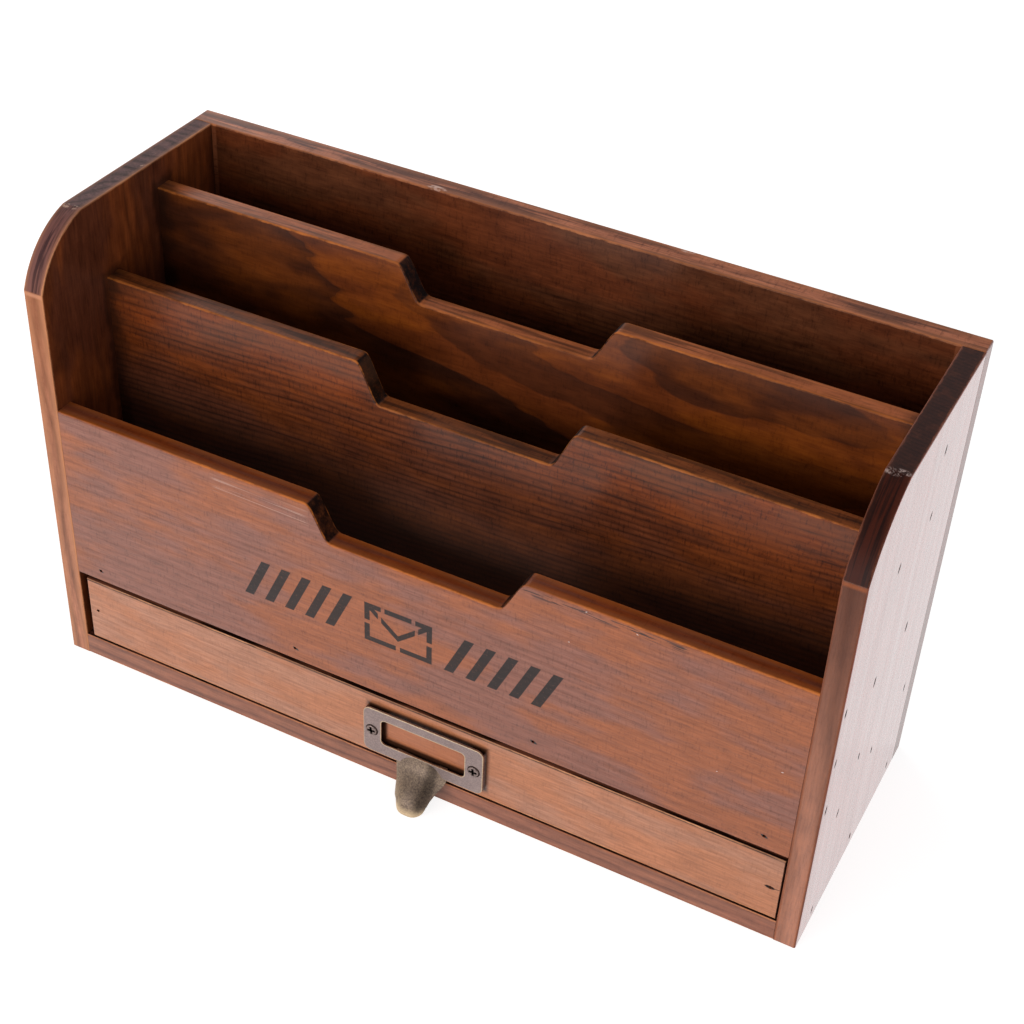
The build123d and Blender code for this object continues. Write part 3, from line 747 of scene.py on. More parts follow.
def divider_marks(reflection_share):
    """Grime at both ends of a divider, and painted light and a painted reflection on its upper front.
    """

    def marks(wood, colour):
        # Painted light brightens the upper front, and a cloud of painted reflection lies over it.
        if reflection_share:
            z, beside = wood.at[2] / MM, wood.facing[2].ramp(0.8, 0.5)
            painted_lit_colour = wood.blend(1.0, colour, PAINTED_LIGHT_TINT, "MULTIPLY")
            colour = wood.blend(z.ramp(126.0, 166.0) * beside, colour, painted_lit_colour)
            cloud = wood.cloud(30.0, 30.0, 90.0, detail=3.0).ramp(0.38, 0.6)
            colour = wood.blend(cloud * z.ramp(140.0, 168.0) * beside * reflection_share, colour, PAINTED_REFLECTION)
        near = grime(wood, INNER_X - wood.at[0].abs(), 9.0)
        return wood.blend(near * 0.7, colour, POCKET_GRIME), near * 0.5

    return marks


# %% Back panel
TOP_SCUFF = srgb(228, 200, 188)
UNSTAINED = srgb(150, 86, 56)
BACK_SCUFFS = [(-54.5, 53.6, 5.0, 0.0), (50.9, 61.0, 3.6, 0.1)]  # across, back, length, slant


def back_marks(wood, colour):
    """Scuffs on the top edge, and strips in the corners that the stain never reached."""
    x, y = wood.at[:2]
    scratch = wood.cloud(300.0, 700.0, 700.0, detail=3.0, roughness=0.7)
    scuffs = gouges(x / MM, y / MM, BACK_SCUFFS) * wood.facing[2].ramp(0.4, 0.6)
    colour = wood.blend(scratch.ramp(0.42, 0.56) * scuffs, colour, TOP_SCUFF)
    strip = ((INNER_X - x.abs()) / MM).ramp(2.4, 1.6) * wood.facing[1].ramp(-0.5, -0.8)
    strip = strip * scratch.ramp(0.25, 0.5)
    return wood.blend(strip * 0.55, colour, UNSTAINED), strip


# %% Corner and joints of a side panel
CORNER_GRIME = srgb(26, 12, 8)


def corner_streaks(wood, colour, foot, arc, streaks, line):
    """Streaks of end grain down the sawn corner, and a rubbed line across its foot."""
    z = wood.at[2]
    slope = wood.facing[1].ramp(-0.1, -0.4) * (z - foot).ramp(0.0, 0.4 * MM)
    grain = wood.cloud(620.0, 24.0, 24.0, detail=4.0, roughness=0.6).ramp(0.42, 0.58)
    colour = wood.blend(slope * 0.85, colour, wood.blend(grain, srgb(*arc), srgb(*streaks)))
    at_foot = (z - foot + 1.0 * MM).abs().ramp(1.5 * MM, 0.2 * MM)
    at_foot = at_foot * wood.facing[1].ramp(-0.6, -0.9)
    return wood.blend(at_foot * 0.55, colour, srgb(*line))


def joint_grime(wood, colour):
    """Grime on the inner face, along both dividers and in the back corner."""
    x, y, z = wood.at
    inner = wood.facing[0].abs().ramp(0.6, 0.9) * (x.abs() - INNER_X).ramp(3.0 * MM, 1.0 * MM)
    for middle, top in JOINTS:
        way = ((y - middle).abs() - 4.0 * MM).max(z - top)
        colour = wood.blend(grime(wood, way, 4.5) * inner * 0.6, colour, CORNER_GRIME)
    return wood.blend(grime(wood, BACK_FACE - y, 4.0) * inner * 0.7, colour, CORNER_GRIME)


# %% Side panels
SIDE_GOUGE = srgb(24, 12, 10)
SIDE_GOUGES = [  # height, place from front to back, length, slant; one over each brad
    (72.0, -57.3, 2.8, 0.15), (96.2, -57.5, 2.4, 0.25), (120.5, -57.4, 2.6, 0.1),
    (66.0, -19.4, 2.4, -0.1), (104.3, -19.6, 3.0, 0.2), (157.8, -19.5, 2.8, 0.3),
    (102.6, 17.1, 3.0, 0.15), (155.9, 16.9, 2.6, 0.25), (185.3, 17.0, 2.8, 0.2),
    (50.6, -36.0, 2.6, 0.3), (50.4, 2.0, 2.4, -0.1), (50.5, 42.0, 2.5, 0.2),
    (5.9, -46.0, 2.4, 0.2), (6.1, -3.0, 2.5, -0.2), (6.0, 42.0, 2.3, 0.1),
]


def side_marks(foot, arc, streaks, line, scuffs, scuff, high, share):
    """A duller front edge higher up, the corner, grime, scuffs, and gouges over the brads."""

    def marks(wood, colour):
        x, y, z = wood.at
        higher = wood.front * (z / MM).ramp(20.0, 190.0) * share
        colour = wood.blend(higher, colour, srgb(*high))
        colour = corner_streaks(wood, colour, foot, arc, streaks, line)
        colour = joint_grime(wood, colour)
        scratch = wood.cloud(420.0, 420.0, 420.0, detail=4.0, roughness=0.8).ramp(0.46, 0.58)
        near = gouges(x / MM, y / MM, scuffs) * wood.facing[2].ramp(0.4, 0.6)
        colour = wood.blend(scratch * near * 0.75, colour, srgb(*scuff))
        outside = (x.abs() - INNER_X).ramp(5.0 * MM, 9.0 * MM)
        wood.cover(gouges(z / MM, y / MM, SIDE_GOUGES) * outside, SIDE_GOUGE)
        return colour, wood.front * (z / MM).ramp(60.0, 190.0) * share * 0.8

    return marks


def side_ends(foot):
    """On a side panel, end grain is what lies above the foot of the corner, but not the faces."""

    def mask(wood):
        above = (wood.at[2] - foot).ramp(-0.15 * MM, 0.15 * MM)
        return above * wood.facing[0].abs().ramp(0.8, 0.6)

    return mask


# %% [markdown]
# ## The boards
# Each board has its own tree: where the heart was, how wide the years are, and how the grain
# leans. A heart far above or below the board gives near-parallel lines, and one close behind
# its face gives arches. The stain is redder on the front and darker inside the pockets. The
# six colours of a board are early wood, its patches, late wood, upper edge, worn edge and end.

# %% Stains
FRONT = Tones((162, 88, 48), (144, 88, 70), (112, 60, 44), (126, 54, 19), (206, 116, 50),
              (34, 16, 12), rings=0.42, fibre=0.9, blotch=0.15, saw=0.2, rub=0.35)
POCKET = Tones((96, 46, 18), (84, 42, 24), (34, 14, 7), (122, 62, 28), (196, 112, 50),
               (26, 16, 16), rings=0.95, fibre=1.0, mottle=1.1, saw=0.42, dust=0.55, rub=0.15)
FLAMED = Tones((120, 57, 13), (98, 44, 14), (56, 26, 13), (178, 98, 58), (192, 108, 48),
               (26, 18, 20), rings=1.15, fibre=0.7, mottle=1.0, saw=0.2, dust=0.7, rub=0.3)
BACK = Tones((96, 45, 20), (88, 46, 24), (42, 19, 11), (184, 110, 76), (196, 120, 76),
             (146, 84, 72), rings=0.9, fibre=1.0, mottle=1.3, saw=0.32, dust=0.75,
             fade=(212.0, 150.0))
LEFT = Tones((92, 46, 28), (122, 60, 28), (48, 22, 12), (100, 60, 50), (214, 144, 100),
             (106, 74, 72), edge=(172, 108, 78), outer=(144, 78, 52), away=-1.0,
             rings=0.5, fibre=1.2, mottle=1.1, saw=0.1, glow=0.3)
RIGHT = Tones((98, 46, 20), (132, 62, 20), (48, 22, 12), (70, 36, 26), (140, 80, 56),
              (54, 25, 16), edge=(184, 110, 74), outer=(190, 92, 80),
              rings=0.5, fibre=0.9, mottle=0.6, saw=0.1, rub=0.1, glow=0.06)
# The drawer front's top edge colour is partly dark stain and partly painted shade, the front panel's
# shadow in the gap.
DRAWER = Tones((190, 119, 79), (186, 126, 95), (146, 86, 62), (34, 17, 10), (226, 160, 116),
               (70, 40, 28), rings=0.3, fibre=0.8, mottle=0.45, blotch=0.25, saw=0.12, rub=0.0)
TRAY = Tones((178, 112, 74), (180, 118, 84), (130, 78, 52), (150, 84, 50), (226, 160, 116),
             (96, 58, 40), rings=0.5, fibre=0.9, mottle=0.7, saw=0.12)
BASE = Tones((150, 88, 62), (158, 96, 68), (96, 52, 40), (40, 20, 12), (206, 136, 96),
             (60, 36, 30), rings=0.8, fibre=1.0, mottle=0.6, saw=0.1, rub=0.0)


# %% Front panel, dividers and shelf
boards = {}


def dress(node, name, along, tree, tones, wear, varnish=Varnish(), ends=None, marks=None):
    """Makes a board's pine and gives it to the CAD node."""
    boards[node] = pine(name, along, tree, tones, wear, varnish, ends, marks)
    NODES[node].data.materials[0] = boards[node]
    print(node, "has", len(boards[node].node_tree.nodes), "shader nodes")


dress("front_panel", "front_pine", "x", Tree((-0.06, 0.02), (0.012, 0.0), 3.0, 3.1, wander=0.02),
      FRONT, notched_wear("front_panel"), Varnish(0.9, rough=0.38), marks=front_marks)
dress("divider_front", "front_divider_pine", "x",
      Tree((0.02, 0.012), (-0.03, 0.09), 2.6, 11.7, wander=0.02),
      POCKET, notched_wear("divider_front"), Varnish(0.55), marks=divider_marks(0.26))
dress("divider_rear", "rear_divider_pine", "x",
      Tree((0.187, 0.038), (0.0, 0.25), 23.4, 23.9, wander=0.02, profile=FLAMED_YEAR, last=2.3),
      FLAMED, notched_wear("divider_rear"), Varnish(0.45), marks=divider_marks(0.0))
dress("shelf", "shelf_pine", "x_flat", Tree((0.0, -0.06), (0.01, 0.01), 3.5, 61.1),
      POCKET, box_wear("shelf"), Varnish(0.5))

# %% Back, side panels and base
dress("back_panel", "back_pine", "x", Tree((0.02, 0.1), (0.01, 0.0), 2.3, 31.3, wander=0.02),
      BACK, box_wear("back_panel"), Varnish(0.45, fuzz=0.2, polish=1.0), marks=back_marks)
dress("side_panel_left", "left_side_pine", "z",
      Tree((-0.05, -0.12), (0.01, 0.04), 4.4, 41.9, wander=0.045),
      LEFT, side_wear("side_panel_left", *LEFT_CORNER), Varnish(0.5), side_ends(LEFT_FOOT),
      side_marks(LEFT_FOOT, arc=(132, 86, 78), streaks=(66, 40, 40), line=(226, 156, 120),
                 scuffs=[(-162.4, 7.0, 2.2, 1.0), (-166.0, -34.5, 4.6, 0.1)],
                 scuff=(206, 168, 146), high=(150, 80, 34), share=0.5))
dress("side_panel_right", "right_side_pine", "z",
      Tree((-0.25, 0.12), (0.01, 0.01), 2.1, 53.3, wander=0.004),
      RIGHT, side_wear("side_panel_right", *RIGHT_CORNER),
      Varnish(1.2, rough=0.28, coat_rough=0.1, bump=0.02, fuzz=0.18, ridges=0.4, brush=1.0),
      side_ends(RIGHT_FOOT),
      side_marks(RIGHT_FOOT, arc=(70, 27, 16), streaks=(34, 13, 10), line=(176, 92, 44),
                 scuffs=[(165.0, -31.5, 6.0, 0.1)],
                 scuff=(206, 180, 172), high=(72, 34, 20), share=0.85))
dress("base_board", "base_pine", "x_flat", Tree((0.02, -0.05), (0.01, 0.01), 3.0, 71.7),
      BASE, box_wear("base_board"), Varnish(0.8))

# %% Drawer
dress("drawer_front", "drawer_front_pine", "x", Tree((-0.2, 0.0), (0.08, 0.02), 3.0, 83.3),
      DRAWER, box_wear("drawer_front"), Varnish(0.9), marks=drawer_marks)
dress("drawer_side_left", "drawer_left_pine", "y", Tree((-0.04, -0.1), (0.02, 0.0), 3.0, 91.9),
      TRAY, box_wear("drawer_side_left", edges=(0, 2)))
dress("drawer_side_right", "drawer_right_pine", "y", Tree((0.03, 0.1), (0.02, 0.0), 3.0, 101.3),
      TRAY, box_wear("drawer_side_right", edges=(0, 2)))
dress("drawer_back", "drawer_back_pine", "x", Tree((0.05, 0.03), (0.02, 0.0), 3.0, 113.9),
      TRAY, box_wear("drawer_back"))
dress("drawer_bottom", "ply", "x_flat", Tree((0.0, -0.3), (0.01, 0.02), 5.0, 127.1),
      TRAY, box_wear("drawer_bottom"))

# %% [markdown]
# ## Making a piece
# A new piece needs more than its mesh: clean normals, smooth or sharp edges, a material, and
# a body to ride on. The joints depend on that, so one function does it for every piece, and
# the edges are marked by their angle instead of by hand. Some operators hand back a mesh's
# parts in a different order each time, so they're put in order first.


# %% A fixed order for a mesh's parts
def number(parts, key):
    for index, part in enumerate(sorted(parts, key=key)):
        part.index = index
    parts.sort()


def put_in_order(mesh):
    """Orders vertices by place, and edges and faces by their vertices."""
    number(mesh.verts, lambda vert: vert.co[:])
    for parts in (mesh.edges, mesh.faces):
        number(parts, lambda part: sorted(vert.index for vert in part.verts))


# %% Making a piece of the scene
def finished(mesh, name, body, material, smooth_below):
    """Cleans a mesh and makes it a piece, smooth where its faces meet at less than an angle."""
    bmesh.ops.remove_doubles(mesh, verts=mesh.verts, dist=0.002 * MM)
    bmesh.ops.recalc_face_normals(mesh, faces=mesh.faces)
    put_in_order(mesh)
    for face in mesh.faces:
        face.smooth = True
    limit = math.radians(smooth_below)
    for edge in mesh.edges:
        edge.smooth = len(edge.link_faces) == 2 and edge.calc_face_angle() < limit
    data = bpy.data.meshes.new(name)
    mesh.to_mesh(data)
    mesh.free()
    data.materials.append(material)
    piece = bpy.data.objects.new(name, data)
    scene.collection.objects.link(piece)
    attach(piece, body)
    print(name, "has", len(data.polygons), "faces")
    return piece


# %% [markdown]
# ## Notches rounded by hand
# On the real boards the corners of the notches were sanded round after sawing. The CAD boards
# have them sharp. Each board is copied and cut by a few upright planes near every corner. Then
# its top edge is lowered or raised to a height with rounded corners, the same one that the wear
# uses. What lies deeper than 5 mm below the edge doesn't move.


# %% Round the notches
CUTS, CUT_STEP = 6, 0.5 * MM  # upright planes on each side of a corner, and the way between them
STILL_BELOW = 5.0 * MM  # points deeper than this below the edge stay where they are


def soft_min(first, second, reach):
    """The smaller of two numbers with a rounded change over, as the Math node has it."""
    near = max(reach - abs(first - second), 0.0) / reach
    return min(first, second) - near**3 * reach / 6.0


def round_notch(node, name):
    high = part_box(node)[1]
    middle, depth = NOTCHES[node]
    floor = high.z - depth
    slope = depth / (NOTCH_HALF_TOP - NOTCH_HALF_FLOOR)
    mesh = bmesh.new()
    mesh.from_mesh(NODES[node].data)
    bmesh.ops.remove_doubles(mesh, verts=mesh.verts, dist=0.002 * MM)
    for half in (NOTCH_HALF_TOP, NOTCH_HALF_FLOOR):
        for side in (-1, 1):
            for step in range(-CUTS, CUTS + 1):
                cut = (middle + side * half + step * CUT_STEP, 0.0, 0.0)
                parts = mesh.verts[:] + mesh.edges[:] + mesh.faces[:]
                bmesh.ops.bisect_plane(mesh, geom=parts, dist=1e-7, plane_co=cut, plane_no=(1, 0, 0))
    moved = 0
    for vert in mesh.verts:
        rise = floor + (abs(vert.co.x - middle) - NOTCH_HALF_FLOOR) * slope
        sharp = min(max(rise, floor), high.z)
        soft = soft_min(-soft_min(-rise, -floor, NOTCH_ROUND), high.z, NOTCH_ROUND)
        share = max(0.0, 1.0 - max(sharp - vert.co.z, 0.0) / STILL_BELOW)
        moved += abs(soft - sharp) * share > 0.01 * MM
        vert.co.z += (soft - sharp) * share
    print("rounded", node, "by moving", moved, "points")
    piece = finished(mesh, name, "carcass", boards[node], smooth_below=30.0)
    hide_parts(node)


round_notch("front_panel", "front_board")
round_notch("divider_front", "front_divider_board")
round_notch("divider_rear", "rear_divider_board")

# %% [markdown]
# ## Making sheet metal
# The label holder and its pull are pressed from one sheet of brass. Such a part could be a
# solid with the hollows cut out, but then its wall is hard to keep even. Each is drawn flat
# here, as seen from the front, and stood up at the end: x runs across, y runs up, and z comes
# towards the viewer. The sheet is just a skin, and a Solidify modifier gives it its thickness.


# %% Small tools for pressed sheet
STAND_UP = Matrix.Rotation(math.pi / 2, 4, "X")


def once(parts):
    """Each part once, in the order in which they come."""
    return list(dict.fromkeys(parts))


def outline(mesh, width, height, corner, x, y):
    """A rounded rectangle of edges, drawn flat."""
    corners = bmesh.ops.create_grid(mesh, x_segments=1, y_segments=1, size=0.5)["verts"]
    bmesh.ops.scale(mesh, vec=(width, height, 1.0), verts=corners)
    bmesh.ops.translate(mesh, vec=(x, y, 0.0), verts=corners)
    rounded = bmesh.ops.bevel(
        mesh, geom=corners, offset=corner, segments=8, profile=0.5, affect="VERTICES", material=-1
    )
    touching = once(f for v in rounded["verts"] for f in v.link_faces)
    sheet = max(touching, key=lambda f: f.calc_area())
    edges = list(sheet.edges)
    bmesh.ops.delete(mesh, geom=[sheet], context="FACES_ONLY")
    return edges


def ring(mesh, radius, x, y):
    """A circle of edges, drawn flat."""
    at = Matrix.Translation((x, y, 0.0))
    made = bmesh.ops.create_circle(mesh, segments=40, radius=radius, matrix=at)["verts"]
    return once(e for v in made for e in v.link_edges)


def carry(mesh, edges, move=(0.0, 0.0, 0.0), stretch=1.0, about=(0.0, 0.0)):
    """Draws a run of edges out into a band of faces and returns the band's far edges."""
    made = bmesh.ops.extrude_edge_only(mesh, edges=edges)["geom"]
    verts = [part for part in made if isinstance(part, bmesh.types.BMVert)]
    centre = Matrix.Translation((-about[0], -about[1], 0.0))
    bmesh.ops.scale(mesh, vec=(stretch, stretch, 1.0), space=centre, verts=verts)
    bmesh.ops.translate(mesh, vec=move, verts=verts)
    kept = set(verts)
    return [e for e in made if isinstance(e, bmesh.types.BMEdge) and set(e.verts) <= kept]


def fill(mesh, edges):
    """Fills the space between outlines; inner ones stay open as holes."""
    bmesh.ops.triangle_fill(mesh, use_beauty=True, edges=edges, normal=(0, 0, 1))


def stood_up(mesh, name, material, smooth_below):
    """Stands a drawn sheet up and makes it a piece that rides with the drawer."""
    bmesh.ops.transform(mesh, matrix=STAND_UP, verts=mesh.verts)
    return finished(mesh, name, "drawer", material, smooth_below)


# %% [markdown]
# ## Brass and steel
# The fitting is brass under a dark antique bath. On the real thing the bath is rubbed off every
# edge, and shows speckled brass at the tip of the pull, where fingers touch it. The wear could be
# painted, but sums of distances stay sharp at any size. The plate's shader works out how far a
# point is from the plate's rounded outline and from the window's, and the pull's goes by height.
# The pull also gets a painted highlight down its left side and painted shade down its right flank.

# %% Sizes of the label holder
PLATE_X, PLATE_Z = 8.3 * MM, 26.7 * MM
PLATE_W, PLATE_H, PLATE_CORNER = 54.7 * MM, 23.6 * MM, 3.2 * MM
PLATE_FACE = -64.5 * MM
SHEET, STAND_OFF = 0.9 * MM, 1.6 * MM  # depth of the plate's edge, and the slot behind it
WINDOW_Z, WINDOW_W, WINDOW_H, WINDOW_CORNER = 27.4 * MM, 38.3 * MM, 13.2 * MM, 2.0 * MM
SCREW_PLACES = [-15.05 * MM, 31.65 * MM]
PULL_X = 7.8 * MM
print("label holder:", round(PLATE_W / MM, 1), "x", round(PLATE_H / MM, 1), "mm")


# %% Where brass is bright or dirty
def way_in(x, z, middle, half_width, half_height, corner):
    """How far inside a rounded rectangle a point is, and less than 0 outside it."""
    across = (x - middle[0]).abs() - (half_width - corner)
    up = (z - middle[1]).abs() - (half_height - corner)
    over, above = across.max(0.0), up.max(0.0)
    return corner - (over * over + above * above).math("SQRT") - across.max(up).min(0.0)


def plate_wear(x, y, z):
    outer = way_in(x, z, (PLATE_X, PLATE_Z), PLATE_W / 2, PLATE_H / 2, PLATE_CORNER)
    window = way_in(x, z, (PLATE_X, WINDOW_Z), WINDOW_W / 2, WINDOW_H / 2, WINDOW_CORNER)
    rim = outer.abs().min(window.abs()) / MM
    return rim.ramp(0.5, 0.15) * (y - (PLATE_FACE + 0.5 * MM)).ramp(0.1 * MM, -0.2 * MM)


def pull_wear_and_highlight(x, y, z):
    tip = (z / MM).ramp(6.0, 1.5)
    # Painted highlight: the lower left side of the pull is lightened towards rubbed brass.
    left = ((x - PULL_X) / MM).ramp(0.0, -6.0) * (z / MM).ramp(14.0, 6.0)
    return tip * 1.1 + left * 0.45


def pull_painted_shade(x, y, z):
    """Painted shade down the right flank of the arch."""
    off = (x - PULL_X) / MM
    return off.ramp(2.2, 4.8) * off.ramp(8.8, 6.4) * (z / MM).ramp(1.0, 5.0) * 0.6


def recess_dirt(x, y, z):
    """1 inside the cross recesses, where old polish has gathered."""
    up = z - PLATE_Z
    ways = [((x - place) * (x - place) + up * up).math("SQRT") / MM for place in SCREW_PLACES]
    return ways[0].min(ways[1]).ramp(2.0, 1.93) * ((y - PLATE_FACE) / MM).ramp(-0.38, -0.3)


# %% Metals
# Rubbed brass, and the painted highlight down the pull's left side.
RUBBED_BRASS_AND_HIGHLIGHT = srgb(222, 196, 160)
# Old polish in the screw recesses, and painted shade down the pull's right flank.
OLD_POLISH_AND_SHADE = srgb(18, 14, 12)
METAL_GRAIN = 0.05 * MM


def metal(name, bath, bright, rough, speckle, wear=None, dirt_and_shade=None):
    """A dark bath over bright metal, speckled, with rubbed and dirty places; on the pull the rubbed
    places include a painted highlight, and the dirty ones painted shade.
    """
    finish = Finish(name)
    x, y, z = finish.place()
    fine = finish.noise(x * 1500.0, y * 1500.0, z * 1500.0, detail=3.0, roughness=0.7)
    broad = finish.noise(x * 200.0, y * 200.0, z * 200.0, detail=4.0, roughness=0.6)
    colour = finish.blend(fine.ramp(0.3, 0.75) * speckle, srgb(*bath), srgb(*bright))
    colour = finish.blend(broad.ramp(0.45, 0.8) * 0.35, colour, srgb(*bright))
    if wear:
        worn = (wear(x, y, z) * (fine * 0.9 + broad * 0.6 - 0.1)).min(1.0).max(0.0)
        colour = finish.blend(worn, colour, RUBBED_BRASS_AND_HIGHLIGHT)
    if dirt_and_shade:
        colour = finish.blend(dirt_and_shade(x, y, z) * 0.9, colour, OLD_POLISH_AND_SHADE)
    finish.set("Base Color", colour)
    finish.set("Metallic", 1.0)
    finish.set("Roughness", fine * 0.22 + rough)
    relief = {"Strength": 0.3, "Distance": METAL_GRAIN, "Height": fine}
    finish.set("Normal", finish.node("Bump", None, relief))
    return finish.material


plate_brass = metal("plate_finish", (136, 120, 118), (176, 156, 150), 0.4, 0.7, plate_wear)
pull_brass = metal("pull_finish", (98, 84, 78), (168, 146, 124), 0.46, 0.8, pull_wear_and_highlight, pull_painted_shade)
dark_brass = metal("screw_finish", (120, 104, 100), (164, 144, 136), 0.34, 0.6, dirt_and_shade=recess_dirt)
steel = metal("brad_steel", (40, 30, 26), (84, 70, 60), 0.5, 0.5)
brads = [node for node in NODES if node.endswith("brads")]
for node in brads:
    NODES[node].data.materials[0] = steel
print("groups of brads in steel:", len(brads))

# %% [markdown]
# ## The label holder
# It's a plate with a window and two screw holes. Its left, lower and right edges are turned
# back to the wood, which leaves a slot for a card that's open at the top. The outlines are drawn
# as edges, the space between them is filled, and the turned edge is that outline drawn back.

# %% Plate with a turned edge
EDGE = 0.25  # radius of the rounded edge in mm, drawn out and back in three steps
EDGE_STEPS = [(0.1, 0.03), (0.2, 0.12), (EDGE, EDGE)]
PLATE_WALL = 0.55 * MM
HOLE_R = 2.86 * MM

plate = bmesh.new()
flat_w, flat_h = PLATE_W - 2 * EDGE * MM, PLATE_H - 2 * EDGE * MM
rim = outline(plate, flat_w, flat_h, PLATE_CORNER - EDGE * MM, PLATE_X, PLATE_Z)
window = outline(plate, WINDOW_W, WINDOW_H, WINDOW_CORNER, PLATE_X, WINDOW_Z)
holes = [ring(plate, HOLE_R, x, PLATE_Z) for x in SCREW_PLACES]
fill(plate, rim + window + [e for hole in holes for e in hole])
for x, hole in zip(SCREW_PLACES, holes):
    lip = carry(plate, hole, move=(0, 0, -0.5 * MM), stretch=0.93, about=(x, PLATE_Z))
    carry(plate, lip, move=(0, 0, -SHEET), stretch=0.6, about=(x, PLATE_Z))
straight = (PLATE_W / 2 - PLATE_CORNER, PLATE_H / 2 - PLATE_CORNER)
last = (0.0, 0.0)
for out, back in EDGE_STEPS:
    rim = carry(plate, rim, move=(0, 0, (last[1] - back) * MM))
    for vert in once(v for e in rim for v in e.verts):
        away = (vert.co.x - PLATE_X, vert.co.y - PLATE_Z)
        past = [math.copysign(max(abs(a) - s, 0.0), a) for a, s in zip(away, straight)]
        vert.co.xy += Vector(past).normalized() * (out - last[0]) * MM
    last = (out, back)
rim = carry(plate, rim, move=(0, 0, -(SHEET - EDGE * MM)))
open_above = PLATE_Z + PLATE_H / 2 - PLATE_CORNER * 0.6
turned = [e for e in rim if max(v.co.y for v in e.verts) < open_above]
carry(plate, turned, move=(0, 0, -STAND_OFF))
bmesh.ops.translate(plate, vec=(0, 0, -PLATE_FACE), verts=plate.verts)
holder = stood_up(plate, "label_holder", plate_brass, smooth_below=12.0)
sheet = holder.modifiers.new("sheet", "SOLIDIFY")
sheet.thickness = PLATE_WALL
sheet.offset = -1.0

# %% [markdown]
# ## The finger pull
# The pull is a tongue that grows out of the plate's lower strip, swings forward and hangs down
# in front of the base, hollow behind. A flat grid is shaped by two rules: a curved spine that
# says where each row is, and an arch across each row. At its root the arch has long soft feet
# that run into the plate, and lower down it's a plain round arch.

# %% The pull's spine
PULL_TIP_Z = 0.8 * MM
PULL_TURN = 3.4  # height of the rounded tip in mm
PULL_WALL, PULL_ROUND = 1.1 * MM, 0.3 * MM
NUDGE = 0.05  # mm to each side of a row, for the slope there
SPINE = [  # drop below the plate's lower edge, reach before its face, half width, rise, softness, shift
    (-5.9, -0.1, 11.6, 0.2, 1.0, 0.0),
    (-2.6, 0.9, 12.0, 1.3, 1.0, 0.0),
    (-0.2, 2.5, 11.2, 3.0, 0.8, 0.0),
    (2.4, 5.6, 9.3, 4.0, 0.5, -0.2),
    (5.2, 9.3, 8.0, 4.6, 0.25, -0.3),
    (8.6, 12.3, 7.2, 4.7, 0.1, -0.1),
    (14.1, 13.1, 6.6, 4.2, 0.0, 0.2),
]


def spine_at(drop):
    """The spine's values at a drop, by smooth curves through the listed places."""
    i = max(k for k in range(len(SPINE) - 1) if SPINE[k][0] <= max(drop, SPINE[0][0]))
    rows = [SPINE[min(max(k, 0), len(SPINE) - 1)] for k in (i - 1, i, i + 1, i + 2)]
    share = (drop - rows[1][0]) / (rows[2][0] - rows[1][0])
    found = []
    for column in range(1, 6):
        a, b, c, d = [row[column] for row in rows]
        span = rows[2][0] - rows[1][0]
        step_in = (c - a) / max(rows[2][0] - rows[0][0], 1e-6) * span
        step_out = (d - b) / max(rows[3][0] - rows[1][0], 1e-6) * span
        s2, s3 = share**2, share**3
        found.append(
            b * (2 * s3 - 3 * s2 + 1) + step_in * (s3 - 2 * s2 + share)
            + c * (3 * s2 - 2 * s3) + step_out * (s3 - s2)
        )
    return found


# %% Pull
plate_foot = PLATE_Z - PLATE_H / 2
full_drop = (plate_foot - PULL_TIP_Z) / MM
tongue = bmesh.new()
bmesh.ops.create_grid(tongue, x_segments=24, y_segments=30, size=1.0)
for vert in tongue.verts:
    across, along = vert.co.x, (1.0 - vert.co.y) / 2.0
    turn = PULL_TURN * (1.0 - (1.0 - abs(across) ** 3.2) ** (1 / 3.2))
    drop = SPINE[0][0] + along * (full_drop - turn - SPINE[0][0])
    reach, half, rise, soft, shift = spine_at(drop)
    before, after = spine_at(drop - NUDGE)[0], spine_at(min(drop + NUDGE, SPINE[-1][0]))[0]
    slope = (after - before) / (2 * NUDGE)
    out = Vector((slope, 1.0)).normalized()  # upwards and outwards, across the spine
    arch = (1.0 - abs(across) ** 3) * (1.0 - soft) + (1.0 - across**2) ** 2 * soft
    behind = rise * (1.0 - arch)
    vert.co.x = PULL_X + (across * half + shift) * MM
    vert.co.y = plate_foot - (drop + behind * out.x) * MM
    vert.co.z = -PLATE_FACE + (reach - behind * out.y) * MM
pull = stood_up(tongue, "finger_pull", pull_brass, smooth_below=180.0)
sheet = pull.modifiers.new("sheet", "SOLIDIFY")
sheet.thickness = PULL_WALL
sheet.offset = -1.0
round_over = pull.modifiers.new("round_over", "BEVEL")
round_over.width = PULL_ROUND
round_over.segments = 2
round_over.limit_method = "ANGLE"
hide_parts("label_pull")

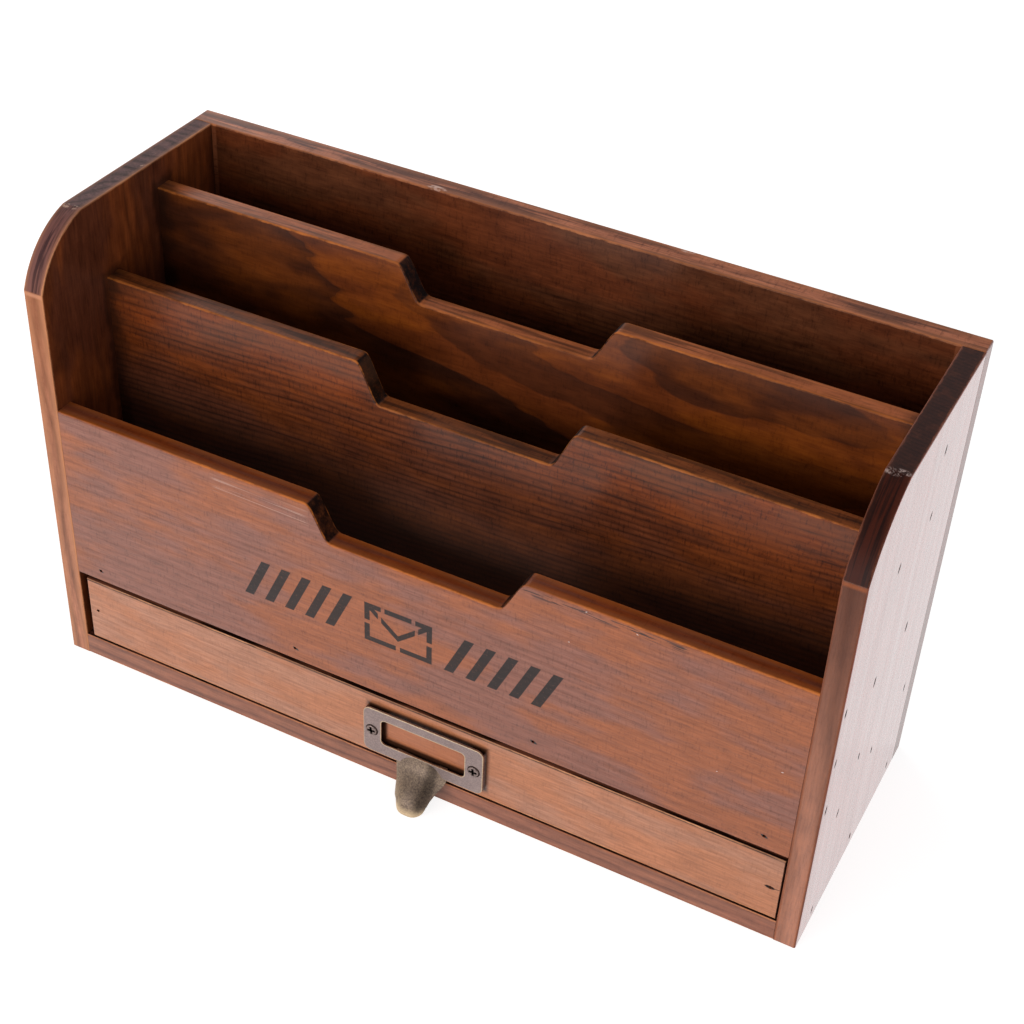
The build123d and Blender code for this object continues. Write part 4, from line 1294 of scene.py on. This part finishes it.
# %% [markdown]
# ## The two screws
# Each is a small domed head with a cross recess. A recess cut by a Boolean would leave ragged
# faces on a head this small. So it starts as a grid of nine squares with the corners taken
# away. Its outline is raised to the surface, a ring is drawn round it, the space between them
# is filled, and the ring is carried outwards and down into a dome.

# %% Screws
RECESS_ARM, RECESS_SLOT, RECESS_DEEP = 1.472 * MM, 0.43 * MM, 1.0 * MM
FLAT_R = 2.02 * MM  # the flat middle of the head, from which the dome falls away
DOME = [(1.1, 0.06), (1.06, 0.1), (1.04, 0.16), (1.02, 0.24), (1.0, 1.1)]  # wider by, down by
OFF_X, OFF_Z, PROUD = -0.24 * MM, -0.28 * MM, 0.44 * MM  # off the hole's middle, out of the plate

screws = bmesh.new()
for x, turned_by in zip(SCREW_PLACES, (0.12, 0.05)):
    head = bmesh.new()
    bmesh.ops.create_grid(head, x_segments=3, y_segments=3, size=1.0)
    for vert in head.verts:
        for axis in (0, 1):
            inner = abs(vert.co[axis]) < 0.5
            vert.co[axis] = math.copysign(RECESS_SLOT if inner else RECESS_ARM, vert.co[axis])
    corners = [f for f in head.faces if min(map(abs, f.calc_center_median().xy)) > RECESS_SLOT]
    bmesh.ops.delete(head, geom=corners, context="FACES")
    cross = [e for e in head.edges if e.is_boundary]
    brink = carry(head, cross, move=(0, 0, RECESS_DEEP), stretch=1.25)
    collar = ring(head, FLAT_R, 0.0, 0.0)
    lifted = once(v for e in collar for v in e.verts)
    bmesh.ops.translate(head, vec=(0, 0, RECESS_DEEP), verts=lifted)
    fill(head, brink + collar)
    for stretch, sink in DOME:
        collar = carry(head, collar, move=(0, 0, -sink * MM), stretch=stretch)
    place = Matrix.Translation((x + OFF_X, PLATE_Z + OFF_Z, PROUD - PLATE_FACE - RECESS_DEEP))
    bmesh.ops.transform(head, matrix=place @ Matrix.Rotation(turned_by, 4, "Z"), verts=head.verts)
    part = bpy.data.meshes.new("head")
    head.to_mesh(part)
    head.free()
    screws.from_mesh(part)
    bpy.data.meshes.remove(part)
heads = stood_up(screws, "screw_heads", dark_brass, smooth_below=35.0)
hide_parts("label_screws")
